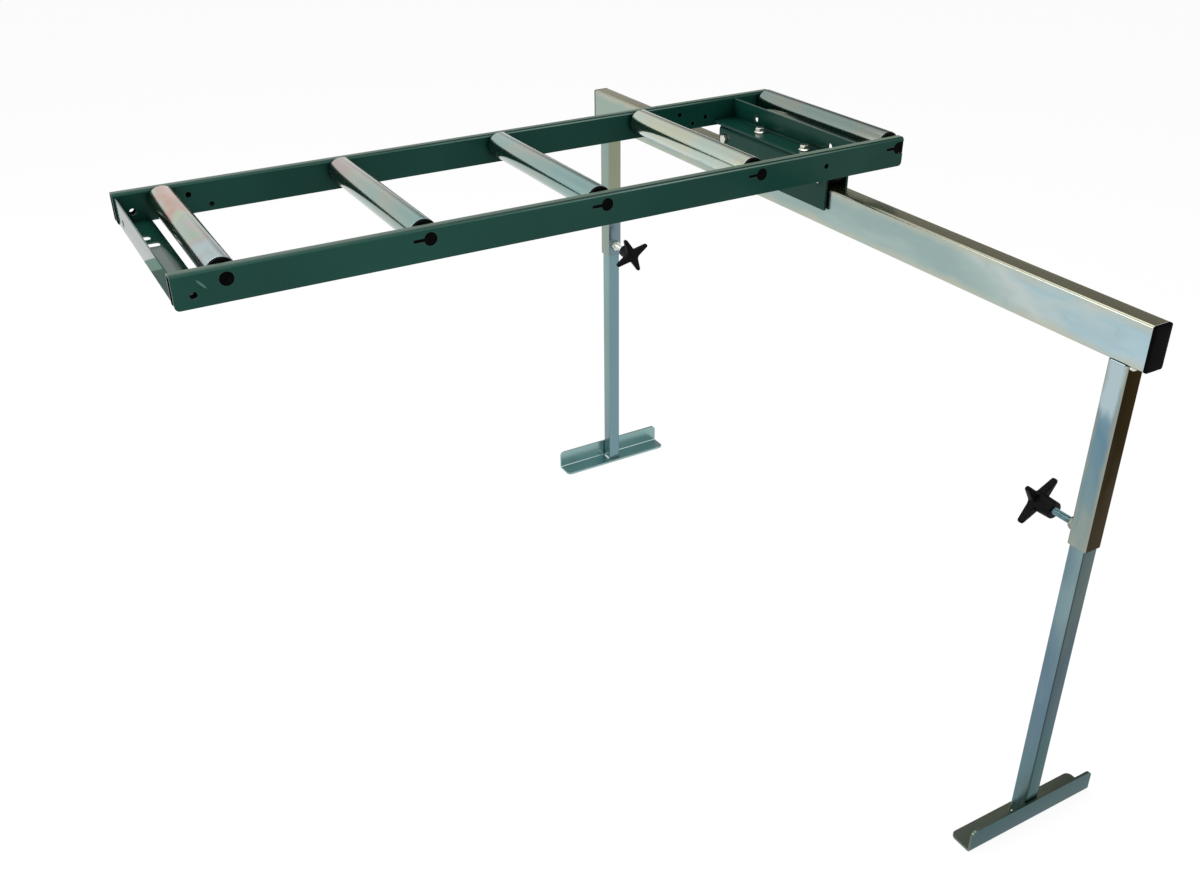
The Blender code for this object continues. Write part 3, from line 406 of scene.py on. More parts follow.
# On the beam, the top tint is a painted olive reflection, the bend tint a painted dark line on the upper
# saw-side edge, and the straw bands a painted highlight along the upper and lower edges.
BEAM_ZINC = zinc("beam_zinc", "Y", BEAM_TINTS, depth=0.36, drift=(0.0, 0.34, 0.0), top=(0.52, 0.5, 0.34),
    bend=(BEAM_EDGE, (0.36, 0.36, 0.28)), straw=(UP, BEAM_MID, BEAM_HEIGHT / 2, (0.5, 0.5, 0.4)))
# The near socket's bend tint is a painted reflection line along its front corner, and its straw bands are a
# painted highlight along its vertical edges; the near leg's bend tint is a painted dark line along its
# front corner.
SOCKET_ZINC = {
    "near": zinc("near_socket_zinc", "Z", NEAR_SOCKET_TINTS, 30.0, 0.3, depth=0.6, drift=(0, 0, 1.9),
        start_at=-1.17, front=NEAR_SOCKET_PAINTED_FRONT, bend=(LEFT_EDGE, (0.3, 0.31, 0.26)),
        straw=(ALONG_Y, -LEG_Y, SOCKET_WIDTH / 2, (0.3, 0.32, 0.26)), glance=(0.74, 0.66, 0.56)),
    "far": zinc("far_socket_zinc", "Z", FAR_SOCKET_TINTS, long_way=0.25, place=(4, 1, 2), depth=0.5,
        drift=(0, 0, 1.0), start_at=-0.62, front=FAR_SOCKET_PAINTED_FRONT)}
LEG_ZINC = {
    "near": zinc("near_leg_zinc", "Z", NEAR_LEG_TINTS, 26.0, 0.25, depth=0.65, drift=(0, 0, 1.1),
        start_at=-0.28, front=NEAR_LEG_PAINTED_FRONT, bend=(LEFT_EDGE, (0.045, 0.055, 0.052))),
    "far": zinc("far_leg_zinc", "Z", FAR_LEG_TINTS, long_way=0.25, place=(1, 2, 3), depth=0.5,
        drift=(0, 0, 0.6), start_at=-0.12, front=FAR_LEG_PAINTED_FRONT)}
# The near foot's zinc is a darker copy of the far foot's, painted shade, with painted dark reflections on
# its front; the far foot's bend tint is a painted highlight along its inner fold.
FOOT_ZINC = {
    "near": zinc("near_foot_shaded_zinc", "X", NEAR_FOOT_SHADED_TINTS, 18.0, front=NEAR_FOOT_PAINTED_FRONT),
    "far": zinc("far_foot_zinc", "X", FAR_FOOT_TINTS, 18.0, place=(3, 1, 2),
        bend=(FOOT_EDGE, (0.86, 0.92, 0.88)))}
BRIGHT_ZINC = zinc("bright_fastener_zinc", "Z", BRIGHT_TINTS, 60.0, 1.0)
# The near stud and near nut get darker copies of the bright zinc, painted shade; the far ones use the
# bright zinc itself.
STUD_ZINC = {"near": zinc("near_stud_shaded_zinc", "Y", SHADED_STUD_TINTS, 60.0, 1.0), "far": BRIGHT_ZINC}
NUT_ZINC = {"near": zinc("near_nut_shaded_zinc", "Y", SHADED_NUT_TINTS, 60.0, 1.0), "far": BRIGHT_ZINC}
AXLE_STEEL = zinc("drawn_axle_steel", "Y", AXLE_TINTS, 20.0)
ROLLER_TONES = ((0.45, ROSY, 1.3, 0.8), (0.37, TEAL, 1.2, 0.75), (0.375, TEAL, 0.3, 0.75),
    (0.53, COOL, 0.0, 0.75), (0.29, TEAL, 0.3, 0.75))
ROLLER_ZINC = [zinc("roller_zinc_%d" % n, "Y", [(at, times(tint, tone)) for at, tint in tints], 22.0, 0.45,
    (0.13, 0.2), (0.37 * n, 0.21 * n, 0.5 * n), depth, (0.0, drift, 0.0), -0.06 * drift)
    for n, (tone, tints, drift, depth) in enumerate(ROLLER_TONES, 1)]
print("made", 11 + len(ROLLER_ZINC), "zinc finishes")

# %% [markdown]
# ## Black plastic
# Knobs, caps, bushes and plugs are moulded in black nylon. It is never fully black: a fine grain
# scatters light, corners are rubbed a little paler, and the gloss changes in patches. Bushes and
# plugs are duller than the rest.

# %% Make the plastic
DEEP_BLACK, PALE_BLACK = (0.0014, 0.0014, 0.0015), (0.0032, 0.0032, 0.0034)
RUBBED_BLACK = (0.022, 0.022, 0.023)


def black_plastic(name, shine, depth):
    """Moulded nylon: fine grain, patchy gloss and pale rubbed corners."""
    made, tree, shader = start(name, 0.0, IOR=1.5, Specular_IOR_Level=shine)
    patch = noise(tree, 90.0, 3.0)
    tone = ramp(patch, [(0.3, times(DEEP_BLACK, depth)), (0.7, times(PALE_BLACK, depth))])
    tone = mixed(edge_wear(tree, 0.0008, 0.22), tone, RUBBED_BLACK)
    gloss = ramp(patch, [(0.3, 0.38), (0.7, 0.52)])
    dress(tree, shader, tone, gloss, noise(tree, 1600.0, 2.0), 0.12, 0.0002)
    return made


BLACK = black_plastic("black_nylon", 0.06, 1.0)
BLACK_DULL = black_plastic("dull_black_nylon", 0.015, 0.6)
print("made", BLACK.name, "and", BLACK_DULL.name)

# %% [markdown]
# ## Surfaces as arrays
# Each new piece is one array of points: rows along a path, columns round a section. Faces are index
# arithmetic on that grid, closed one way like a tube or both ways like a ring. The same few functions
# then make folded sheets, hollow tubes, turned parts and threads, so they come first.

# %% Grid helpers
AXIS = {"X": (1, 2, 0), "Y": (0, 2, 1), "Z": (0, 1, 2)}


def grid_faces(rows, columns, close_rows, close_columns):
    """Quads of a grid: row i and i+1, column j and j+1, wrapping round where the grid is closed."""
    i = np.arange(rows if close_rows else rows - 1)[:, None]
    j = np.arange(columns if close_columns else columns - 1)[None, :]
    row, next_row, next_j = i * columns, (i + 1) % rows * columns, (j + 1) % columns
    quads = np.stack([row + j, row + next_j, next_row + next_j, next_row + j], axis=-1)
    return quads.reshape(-1, 4).tolist()


def shell(points, close_rows=False, close_columns=True, caps=False):
    """Points of shape (rows, columns, 3) as corners and faces, with flat end caps if asked."""
    rows, columns = points.shape[:2]
    faces = grid_faces(rows, columns, close_rows, close_columns)
    if caps:
        faces += [list(range(columns)), list(range((rows - 1) * columns, rows * columns))]
    return points.reshape(-1, 3), faces


def joined(*shells):
    """Several shells as one list of corners and faces."""
    corners = np.concatenate([points for points, _ in shells])
    starts = np.cumsum([0] + [len(points) for points, _ in shells[:-1]])
    faces = [[int(k + first) for k in face] for first, (_, made) in zip(starts, shells) for face in made]
    return corners, faces


def lay(u, v, run, along):
    """Put section coordinates u, v and a run along an axis into X, Y, Z order."""
    u, v, run = np.broadcast_arrays(u, v, run)
    out = np.empty(u.shape + (3,))
    for index, value in zip(AXIS[along], (u, v, run)):
        out[..., index] = value
    return out


def arc(cx, cy, radius, first, last, steps):
    """Points of a circular arc, centre plus radius times cosine and sine of evenly spaced angles."""
    turn = np.radians(np.linspace(first, last, steps + 1))
    return np.stack([cx + radius * np.cos(turn), cy + radius * np.sin(turn)], axis=1)


def round_box(width, height, radius, steps=8):
    """Outline of a rectangle with round corners: four quarter circles about its inner corners."""
    a, b = width / 2 - radius, height / 2 - radius
    corners = ((a, b, 0), (-a, b, 90), (-a, -b, 180), (a, -b, 270))
    return np.concatenate([arc(x, y, radius, turn, turn + 90, steps) for x, y, turn in corners])


def prism(outline, along, first, last):
    """An outline carried straight along an axis between two places, with flat ends."""
    run = np.array([first, last])[:, None]
    return shell(lay(outline[None, :, 0], outline[None, :, 1], run, along), caps=True)


def round_hole(a, b, radius, along, first, last):
    """Cutter for a round hole: a circle of 48 corners carried along an axis."""
    return prism(arc(a, b, radius, 0, 352.5, 47), along, first, last)


def lathe(profile, along, centre, steps=72, closed=True):
    """Turned shape: radius r and run of a profile, spun to r cos a, r sin a about an axis."""
    profile = np.asarray(profile, float)
    turn = np.linspace(0, 2 * np.pi, steps, endpoint=False)[None, :]
    radius, run = profile[:, :1], profile[:, 1:]
    points = lay(radius * np.cos(turn), radius * np.sin(turn), run, along)
    return shell(points + np.asarray(centre), close_rows=closed)


print("grid helpers ready")

# %% Mesh helpers
CREASE_ANGLE, BEVEL_ANGLE = math.radians(35), math.radians(50)


def to_mesh(name, made):
    """Merge doubles, turn the faces outwards and make a Blender mesh."""
    points, faces = made
    mesh = bpy.data.meshes.new(name)
    mesh.from_pydata(points.tolist(), [], faces)
    work = bmesh.new()
    work.from_mesh(mesh)
    bmesh.ops.remove_doubles(work, verts=work.verts, dist=2e-6)
    bmesh.ops.dissolve_degenerate(work, edges=work.edges, dist=1e-7)
    bmesh.ops.recalc_face_normals(work, faces=work.faces)
    work.to_mesh(mesh)
    work.free()
    return mesh


def punch(piece, holes):
    """Take all cutters away from a piece at once, and count the holes by its corners, edges and faces."""
    name = piece.name + "_cutter"
    cutter = bpy.data.objects.new(name, to_mesh(name, joined(*holes)))
    scene.collection.objects.link(cutter)
    step = piece.modifiers.new("holes", "BOOLEAN")
    step.operation, step.solver, step.object = "DIFFERENCE", "EXACT", cutter
    bpy.context.view_layer.update()
    ready = piece.evaluated_get(bpy.context.evaluated_depsgraph_get())
    cut = bpy.data.meshes.new_from_object(ready)
    piece.modifiers.clear()
    piece.data = cut
    bpy.data.objects.remove(cutter, do_unlink=True)
    through = 1 - (len(cut.vertices) - len(cut.edges) + len(cut.polygons)) // 2
    print(piece.name, "has", through, "through holes")


def place_piece(name, made, look, body, stands_for=(), holes=None, rounding=0.0):
    """Make a piece, cut its holes, shade it, let it ride on its body and stand for its CAD nodes."""
    piece = bpy.data.objects.new(name, to_mesh(name, made))
    scene.collection.objects.link(piece)
    if holes:
        punch(piece, holes)
    piece.data.materials.clear()
    piece.data.materials.append(look)
    piece.data.shade_smooth()
    piece.data.set_sharp_from_angle(angle=CREASE_ANGLE)
    if rounding:
        edge = piece.modifiers.new("edges", "BEVEL")
        edge.width, edge.segments, edge.limit_method = rounding, 2, "ANGLE"
        edge.angle_limit, edge.harden_normals = BEVEL_ANGLE, True
    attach(piece, body)
    if stands_for:
        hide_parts(*stands_for)


print("mesh helpers ready")

# %% [markdown]
# ## Folded rails and plates
# Side rails, end plate, cross plate and carriage are sheet steel folded on a press brake. A rail is a
# U that opens downwards, so its two walls hide the bushes; the plates are angles between the rails.
# The section of a folded sheet follows an outer path: straight runs, then a quarter circle at each
# fold, and back along the inner face with the fold's smaller radius. The holes are punched
# afterwards, so they are cut from the swept sheet.

# %% The folded section and the holes of a rail
KEY_REACH, KEY_HALF, KEY_TIP = 0.0087, 0.0021, 0.0227
OVERCUT = 0.004


def folded(path, sheet, bend, steps=10):
    """Outline of a folded sheet: outer face with the bend radius, inner face with bend minus sheet."""
    path = np.asarray(path, float)
    outer, inner = [path[:1]], []
    for before, corner, after in zip(path, path[1:], path[2:]):
        back = (before - corner) / np.linalg.norm(before - corner)
        ahead = (after - corner) / np.linalg.norm(after - corner)
        centre = corner + (back + ahead) * bend
        first = math.degrees(math.atan2(-ahead[1], -ahead[0]))
        outer.append(arc(*centre, bend, first, first + 90, steps))
        inner.append(arc(*centre, bend - sheet, first, first + 90, steps))
    left = [np.array([-run[1], run[0]]) / np.linalg.norm(run) for run in (path[1] - path[0],
        path[-1] - path[-2])]
    inner = [path[:1] + left[0] * sheet, *inner, path[-1:] + left[1] * sheet]
    return np.concatenate(outer + [path[-1:]] + [part[::-1] for part in inner[::-1]])


def keyed_hole(x, keyed, open_end):
    """Axle hole: a circle with a key slot to the saw side, or open to the rail end on the other."""
    side = math.degrees(math.asin(KEY_HALF / KEY_REACH))
    points = [arc(x, ROLLER_Z, KEY_REACH, 90, 180 - side if keyed else 180, 16)]
    if keyed:
        points.append(arc(x - KEY_TIP + KEY_HALF, ROLLER_Z, KEY_HALF, 90, 270, 10))
    points.append(arc(x, ROLLER_Z, KEY_REACH, 180 + side if keyed else 181, 270, 16))
    if open_end:
        end = SAW_X + RAIL_LENGTH + 0.01
        points.append(np.array([[end, ROLLER_Z - KEY_REACH], [end, ROLLER_Z + KEY_REACH]]))
    else:
        points.append(arc(x, ROLLER_Z, KEY_REACH, 270, 450, 32)[1:-1])
    return np.concatenate(points)


def corner_cut(end, way):
    """What goes when a lower corner of the rail is rounded: a square less its quarter circle."""
    inner, high, low = end + way * RAIL_CORNER, RAIL_BASE + RAIL_CORNER, RAIL_BASE - OVERCUT
    bend = (arc(0, 0, RAIL_CORNER, 270, 180, 8) * [way, 1]) + [inner, high]
    past = end - way * OVERCUT
    return np.concatenate([[[past, high], [past, low], [inner, low]], bend])


print("an axle hole has", len(keyed_hole(0.0, True, False)), "corners")

# %% Side rails
OUTER_WALL, INNER_WALL, BOTH_WALLS = (-OVERCUT, 0.005), (0.0125, 0.0215), (-OVERCUT, 0.0215)
NOSE_RADIUS, BOLT_RADIUS, BOLT_DROP = 0.0076, 0.0045, 0.0273
BOLT_HOLES = {"front": 0.0232, "rear": 0.0222}
SPARE_HOLES = {
    "front": [(0.9279, 0.0216, 0.0039)],
    "rear": [(0.0974, 0.0164, 0.0039), (0.1264, 0.0341, 0.0036), (0.8913, 0.0171, 0.0039),
        (0.9175, 0.0344, 0.0036), (0.9423, 0.0269, 0.0039)]}
RAIL_ENDS = (SAW_X, SAW_X + RAIL_LENGTH)
RAIL_PATH = [(RAIL_DEPTH, RAIL_BASE), (RAIL_DEPTH, RAIL_TOP), (0, RAIL_TOP), (0, RAIL_BASE)]

for label, face, inwards, paint in (("front", FRONT_Y, 1, GREEN), ("rear", REAR_Y, -1, GREEN_REAR_SHADED)):
    section = folded(RAIL_PATH, RAIL_SHEET, RAIL_BEND)
    section = np.stack([face + inwards * section[:, 0], section[:, 1]], axis=1)
    outer, inner, both = [[face + inwards * place for place in span]
        for span in (OUTER_WALL, INNER_WALL, BOTH_WALLS)]
    seen = outer if inwards > 0 else inner
    holes = [prism(keyed_hole(x, n > 0, n == 4), "Y", *outer) for n, x in enumerate(ROLLER_X)]
    holes += [round_hole(x, ROLLER_Z, NOSE_RADIUS, "Y", *inner) for x in ROLLER_X]
    holes.append(round_hole(SAW_X + BOLT_HOLES[label], RAIL_TOP - BOLT_DROP, BOLT_RADIUS, "Y", *both))
    holes += [round_hole(SAW_X + along, RAIL_TOP - drop, radius, "Y", *seen)
        for along, drop, radius in SPARE_HOLES[label]]
    holes += [prism(corner_cut(end, way), "Y", *both) for end, way in zip(RAIL_ENDS, (1, -1))]
    place_piece(label + "_rail_folded", prism(section, "X", *RAIL_ENDS), paint, "table",
        [label + "_side_rail"], holes=holes, rounding=0.0004)
print("folded the two side rails")

# %% End plate
PLATE_BASE, PLATE_TOP = RAIL_BASE + 0.0043, RAIL_TOP - 0.0043
PLATE_ENDS = (FRONT_Y + RAIL_DEPTH + GAP, REAR_Y - RAIL_DEPTH - GAP)
END_X = SAW_X + 0.002
END_FLOOR = (RAIL_BASE - OVERCUT, RAIL_BASE + 0.006)

square_hole = round_box(0.0165, 0.0165, 0.0045) + [END_X + 0.0228, FRONT_Y + 0.2312]
long_hole = round_box(0.0105, 0.0165, 0.0045) + [END_X + 0.0198, FRONT_Y + 0.2605]
end_holes = [prism(square_hole, "Z", *END_FLOOR), prism(long_hole, "Z", *END_FLOOR),
    round_hole(FRONT_Y + 0.291, RAIL_TOP - 0.0275, 0.005, "X", END_X - OVERCUT, END_X + 0.006)]
end_path = [(END_X, PLATE_TOP), (END_X, RAIL_BASE), (END_X + 0.042, RAIL_BASE)]
place_piece("saw_end_plate_folded", prism(folded(end_path, 0.002, 0.0035), "Y", *PLATE_ENDS), GREEN_GLOSS,
    "table", ["saw_end_plate"], holes=end_holes, rounding=0.0003)
print("folded the end plate")

# %% Cross plate and carriage
HALF_SADDLE, SADDLE_TOP = 0.0214, PLATE_BASE - GAP
SADDLE_LOW = SADDLE_TOP - 0.065
SADDLE_LEFT, SADDLE_RIGHT = BEAM_X - HALF_SADDLE, BEAM_X + HALF_SADDLE
SADDLE_ENDS = (TABLE_Y - 0.14, TABLE_Y + 0.14)
FRAME_BOLTS = (TABLE_Y - 0.0576, TABLE_Y + 0.0576)
CROSS_BOLTS = (SADDLE_ENDS[0] + 0.0165, SADDLE_ENDS[1] - 0.0165)
CARRIAGE_ROLLER, M8_BORE = 0.013, 0.0043
CROSS_BOLT_Z = BEAM_TOP + GAP + CARRIAGE_ROLLER

cross_end = SADDLE_RIGHT + 0.001
cross_path = [(SADDLE_LEFT, PLATE_BASE), (cross_end, PLATE_BASE), (cross_end, PLATE_TOP)]
cross_holes = [round_hole(BEAM_X, y, M8_BORE, "Z", PLATE_BASE - OVERCUT, PLATE_BASE + 0.008)
    for y in FRAME_BOLTS]
cross_holes += [round_hole(TABLE_Y + y, RAIL_TOP - 0.024, 0.0055, "X", cross_end - 0.008,
    cross_end + OVERCUT) for y in (-0.0946, 0.0946)]
place_piece("cross_plate_folded", prism(folded(cross_path, SHEET, 0.0055), "Y", *PLATE_ENDS), GREEN,
    "table", ["cross_plate"], holes=cross_holes, rounding=0.0004)

saddle_path = [(SADDLE_RIGHT, SADDLE_LOW), (SADDLE_RIGHT, SADDLE_TOP), (SADDLE_LEFT, SADDLE_TOP),
    (SADDLE_LEFT, SADDLE_LOW)]
saddle_holes = [round_hole(BEAM_X, y, M8_BORE, "Z", SADDLE_TOP - 0.008, SADDLE_TOP + OVERCUT)
    for y in FRAME_BOLTS]
saddle_holes += [round_hole(y, CROSS_BOLT_Z, M8_BORE, "X", BEAM_X - 0.03, BEAM_X + 0.03)
    for y in CROSS_BOLTS]
place_piece("saddle_folded", prism(folded(saddle_path, SHEET, 0.006), "Y", *SADDLE_ENDS), GREEN, "table",
    ["saddle_channel"], holes=saddle_holes, rounding=0.0004)
print("folded the cross plate and the carriage")

# %% [markdown]
# ## Rollers
# A roller is a drawn tube with its ends rolled in a little, a plastic bearing cap in each end, and a
# bush that keys into the rail. All of them are turned shapes, so a profile of radius and run is spun
# about the axle.

# %% Profiles of tube, cap and bush
ROLLER_R, HALF_TUBE, TUBE_BORE, TUBE_EDGE = 0.019, 0.151, 0.017, 0.0004
BUSH_FACE, BUSH_COLLAR, BLADE_BACK = 0.175, 0.1722, 0.1707
tube_edge = arc(ROLLER_R - TUBE_EDGE, HALF_TUBE - TUBE_EDGE, TUBE_EDGE, 0, 90, 6)
tube_profile = np.concatenate([tube_edge[::-1], [[ROLLER_R, 0.0]], tube_edge * [1, -1],
    [[TUBE_BORE, -HALF_TUBE], [TUBE_BORE, HALF_TUBE]]])


def cap_profile(side):
    """Bearing cap: a rounded rim outside the tube, two raised rings on its face and a bore."""
    face = HALF_TUBE + 0.003
    rounded = arc(0.0174, face - 0.001, 0.001, 90, 0, 6)
    front = np.array([[0.0053, face - 0.0006], [0.0085, face - 0.0006], [0.009, face - 0.0002],
        [0.0098, face - 0.0002], [0.0103, face - 0.0011], [0.014, face - 0.0011], [0.0146, face]])
    back = np.array([[0.0184, HALF_TUBE + GAP], [0.0167, HALF_TUBE + GAP], [0.0167, 0.139], [0.0142, 0.139],
        [0.0142, HALF_TUBE], [0.009, HALF_TUBE], [0.009, 0.136], [0.0053, 0.136]])
    return np.concatenate([front, rounded, back]) * [1, side]


def bush_shell(centre, side, number):
    """Bush with a shallow ring in its face, its key blade, and a block where the slot is open."""
    face, collar, nose = BUSH_FACE, BUSH_COLLAR, HALF_TUBE + 0.0033
    profile = np.array([[0.0, face - 0.0006], [0.0036, face - 0.0006], [0.004, face - 0.0001],
        [0.006, face], [0.0078, face], [0.0082, face - 0.0002], [0.0084, face - 0.0007], [0.0084, collar],
        [0.0102, collar], [0.0102, collar - 0.003], [0.007, collar - 0.003], [0.007, nose], [0.0053, nose],
        [0.0053, 0.1728], [0.0, 0.1728]]) * [1, side]
    parts = [lathe(profile, "Y", centre, closed=False)]
    flats = []
    if number > 1:
        tip = arc(-0.0206, 0, 0.0018, 90, 270, 10)
        flats.append((np.concatenate([[[-0.007, 0.0018]], tip, [[-0.007, -0.0018]]]), 0.1746))
    if number == 5:
        end = RAIL_LENGTH - 1.0625
        block = np.array([[0.004, -0.0082], [end, -0.0082], [end, 0.0082], [0.004, 0.0082]])
        flats.append((block, 0.1744))
    for outline, front in flats:
        parts.append(prism(outline + [centre[0], centre[2]], "Y", centre[1] + side * front,
            centre[1] + side * BLADE_BACK))
    return joined(*parts)


print("a tube's profile has", len(tube_profile), "points")

# %% Roller tubes, bearing caps and bushes
for number, x in enumerate(ROLLER_X, 1):
    centre = (float(x), TABLE_Y, ROLLER_Z)
    roller = "roller_%d" % number
    place_piece(roller + "_drawn_tube", lathe(tube_profile, "Y", centre, 128), ROLLER_ZINC[number - 1],
        roller, [roller + "_tube"])
    for label, side in SIDES:
        place_piece(roller + "_cap_" + label, lathe(cap_profile(side), "Y", centre), BLACK, roller,
            [roller + "_bearing_cap_" + label])
        place_piece(roller + "_keyed_bush_" + label, bush_shell(centre, side, number), BLACK_DULL, "table",
            [roller + "_bush_" + label], rounding=0.0002)
    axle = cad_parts[roller + "_axle"].data.materials
    axle.clear()
    axle.append(AXLE_STEEL)
print("turned", len(ROLLER_X), "rollers with their caps and bushes")

# %% [markdown]
# ## Tubes of the stand
# Beam, sockets and legs are welded tubes with round corners. A hollow tube is a ring both ways: its
# columns go round the corners, its rows run out along the outside, over the cut end, back along the
# inside and over the other end. A small step at each end softens the sawn edge.

# %% Beam, sockets and legs
SAWN_EDGE, M10_BORE = 0.0004, 0.0053


def hollow(width, height, wall, radius, along, centre, first, last):
    """Hollow tube: the outer outline along the run, then the inner one back, closed both ways."""
    soft = SAWN_EDGE
    out = round_box(width, height, radius)
    trim = round_box(width - 2 * soft, height - 2 * soft, radius - soft)
    bore = round_box(width - 2 * wall, height - 2 * wall, max(radius - wall, 0.0008))
    lines = np.stack([trim, out, out, trim, bore, bore]) + np.asarray(centre)
    run = np.array([first, first + soft, last - soft, last, last, first])[:, None]
    return shell(lay(lines[..., 0], lines[..., 1], run, along), close_rows=True)


beam = hollow(BEAM_WIDTH, BEAM_HEIGHT, TUBE_WALL, BEAM_CORNER, "Y", (BEAM_X, BEAM_MID), -BEAM_HALF,
    BEAM_HALF)
place_piece("beam_drawn", beam, BEAM_ZINC, "stand", ["beam_tube"])
for label, side in SIDES:
    y = side * LEG_Y
    stud_hole = round_hole(BEAM_X, CLAMP_Z, M10_BORE, "Y", y - side * 0.018, y - side * 0.01)
    socket = hollow(SOCKET_WIDTH, SOCKET_WIDTH, TUBE_WALL, 0.003, "Z", (BEAM_X, y), SOCKET_BASE,
        BEAM_BASE - GAP)
    place_piece("leg_socket_drawn_" + label, socket, SOCKET_ZINC[label], "stand",
        ["leg_socket_" + label], holes=[stud_hole])
    leg = hollow(LEG_WIDTH, LEG_WIDTH, TUBE_WALL, 0.0025, "Z", (BEAM_X, y), LEG_BASE, LEG_TOP)
    place_piece("leg_drawn_" + label, leg, LEG_ZINC[label], "leg_" + label,
        ["leg_tube_" + label])
print("drew the beam, two sockets and two legs")

# %% [markdown]
# ## Feet
# A foot is a folded angle whose free corners are ground round. The section is the same at every
# station, but near the ends both flanges get shorter: at a distance d from the end, a corner of
# radius r is missing r minus the root of r squared minus (r minus d) squared.

# %% Angle feet
FOOT_LENGTH, FOOT_FLANGE, FOOT_CORNER = 0.245, 0.039, 0.009


def foot_shell(side):
    """Angle section carried along X, with flanges that shorten to a quarter circle at both ends."""
    rounded = FOOT_CORNER * (1 - np.cos(np.radians(np.arange(10, 91, 8))))
    from_end = np.concatenate([[0.0, 0.0002], rounded, [FOOT_LENGTH / 2]])
    from_end = np.unique(np.round(from_end, 7))
    run = np.concatenate([from_end, FOOT_LENGTH - from_end[-2::-1]])
    depth = np.minimum(np.minimum(run, FOOT_LENGTH - run), FOOT_CORNER)
    reach = FOOT_FLANGE - FOOT_CORNER + np.sqrt(FOOT_CORNER**2 - (FOOT_CORNER - depth) ** 2)
    base = folded([(0, FOOT_FLANGE), (0, 0), (FOOT_FLANGE, 0)], SHEET, 0.0055)
    section = np.repeat(base[None], len(run), axis=0)
    upright = np.isclose(base[:, 1], FOOT_FLANGE)
    flat = np.isclose(base[:, 0], FOOT_FLANGE)
    section[:, upright, 1] = reach[:, None]
    section[:, flat, 0] = reach[:, None]
    outside = side * (LEG_Y + LEG_WIDTH / 2 + 0.001 + SHEET)
    x = BEAM_X - FOOT_LENGTH / 2 + run[:, None]
    return shell(lay(outside - side * section[..., 0], section[..., 1], x, "X"), caps=True)


for label, side in SIDES:
    place_piece("foot_folded_" + label, foot_shell(side), FOOT_ZINC[label], "leg_" + label,
        ["foot_" + label], rounding=0.0004)
print("folded two feet")

# %% [markdown]
# ## Beam plugs
# The beam ends are closed by moulded plugs. The face is a rounded rectangle that swells slightly and
# rolls over into its rim: a stack of outlines, each a bit smaller and a bit further out, and a stem
# inside the tube.

# %% Plugs in the beam ends
PLUG_RIM, PLUG_EDGE = 0.0025, 0.0016


def plug_shell(side):
    """Stack of round rectangles: rim, quarter-round edge, slightly crowned face; then the stem."""
    turn = np.radians(np.linspace(0, 90, 7))
    inset = np.concatenate([[0.0], PLUG_EDGE * (1 - np.cos(turn)), [0.004, 0.009, 0.0149]])
    out = np.concatenate([[GAP], PLUG_RIM + PLUG_EDGE * np.sin(turn), [0.0043, 0.0045, 0.0045]])
    lines = np.stack([round_box(BEAM_WIDTH - 2 * d, BEAM_HEIGHT - 2 * d, max(BEAM_CORNER - d, 0.00005))
        for d in inset])
    lines = lines + [BEAM_X, BEAM_MID]
    run = side * (BEAM_HALF + out[:, None])
    face = shell(lay(lines[..., 0], lines[..., 1], run, "Y"), caps=True)
    stem = hollow(0.0254, 0.0554, 0.0022, 0.0015, "Y", (BEAM_X, BEAM_MID), side * (BEAM_HALF - 0.016),
        side * (BEAM_HALF + GAP))
    return joined(face, stem)


for label, side in SIDES:
    place_piece("beam_plug_" + label, plug_shell(side), BLACK_DULL, "stand",
        ["beam_end_cap_" + label])
print("moulded two beam plugs")

# %% [markdown]
# ## Bolts, nuts and studs
# A hexagon seen from its axis has the radius flats/2 over the cosine of the angle to the nearest
# flat. A turned chamfer cuts it with a cone, so the head's radius is the smaller of the two at every
# height. A thread is a rod whose radius rises and falls with the run minus the pitch times the turn.

# %% Hexagons and threads
CHAMFER = np.array([0.0, 0.0, 0.0004, 0.0009, 0.0014])
THREAD_DEPTH, THREAD_END = 0.00085, 0.0008


def hexagon(flats, first, last, along, centre, turn, bore=0.0):
    """Hexagon prism with chamfered ends: the smaller of hexagon and cone at each height."""
    angle = np.linspace(0, 2 * np.pi, 144, endpoint=False)[None, :]
    wedge = (angle - turn + np.pi / 6) % (np.pi / 3) - np.pi / 6
    reach = flats / 2 / np.cos(wedge)
    span = abs(last - first)
    run = np.concatenate([CHAMFER, [0.5 * span], span - CHAMFER[::-1]])
    cone = flats / 2 * 0.97 + np.minimum(run, span - run) * 1.8
    radius = np.minimum(reach, cone[:, None])
    radius[[0, -1]] = bore
    step = first + (last - first) * run / span
    points = lay(radius * np.cos(angle), radius * np.sin(angle), step[:, None], along)
    return shell(points + np.asarray(centre), close_rows=bore > 0)


def thread(radius, first, last, along, centre, pitch=0.0015, plain=0.0):
    """Threaded rod: the radius follows a rounded zigzag of run over pitch minus turn."""
    span = abs(last - first)
    run = np.linspace(0, span, max(int(span / pitch * 8), 24))[:, None]
    angle = np.linspace(0, 2 * np.pi, 48, endpoint=False)[None, :]
    wave = np.abs(((run / pitch - angle / (2 * np.pi)) % 1.0) - 0.5) * 2
    ends = np.clip(np.minimum(run, span - run) / 0.001, 0, 1)
    depth = np.where(run < plain, 0.0, THREAD_DEPTH * (1 - np.clip(wave * 1.15, 0, 1)))
    body = (radius - depth) - THREAD_END * (1 - ends)
    body = np.concatenate([np.zeros((1, 48)), body, np.zeros((1, 48))])
    run = np.concatenate([[[0.0]], run, [[span]]])
    step = first + (last - first) * run / span
    points = lay(body * np.cos(angle), body * np.sin(angle), step, along)
    return shell(points + np.asarray(centre))


print("hexagon and thread ready")

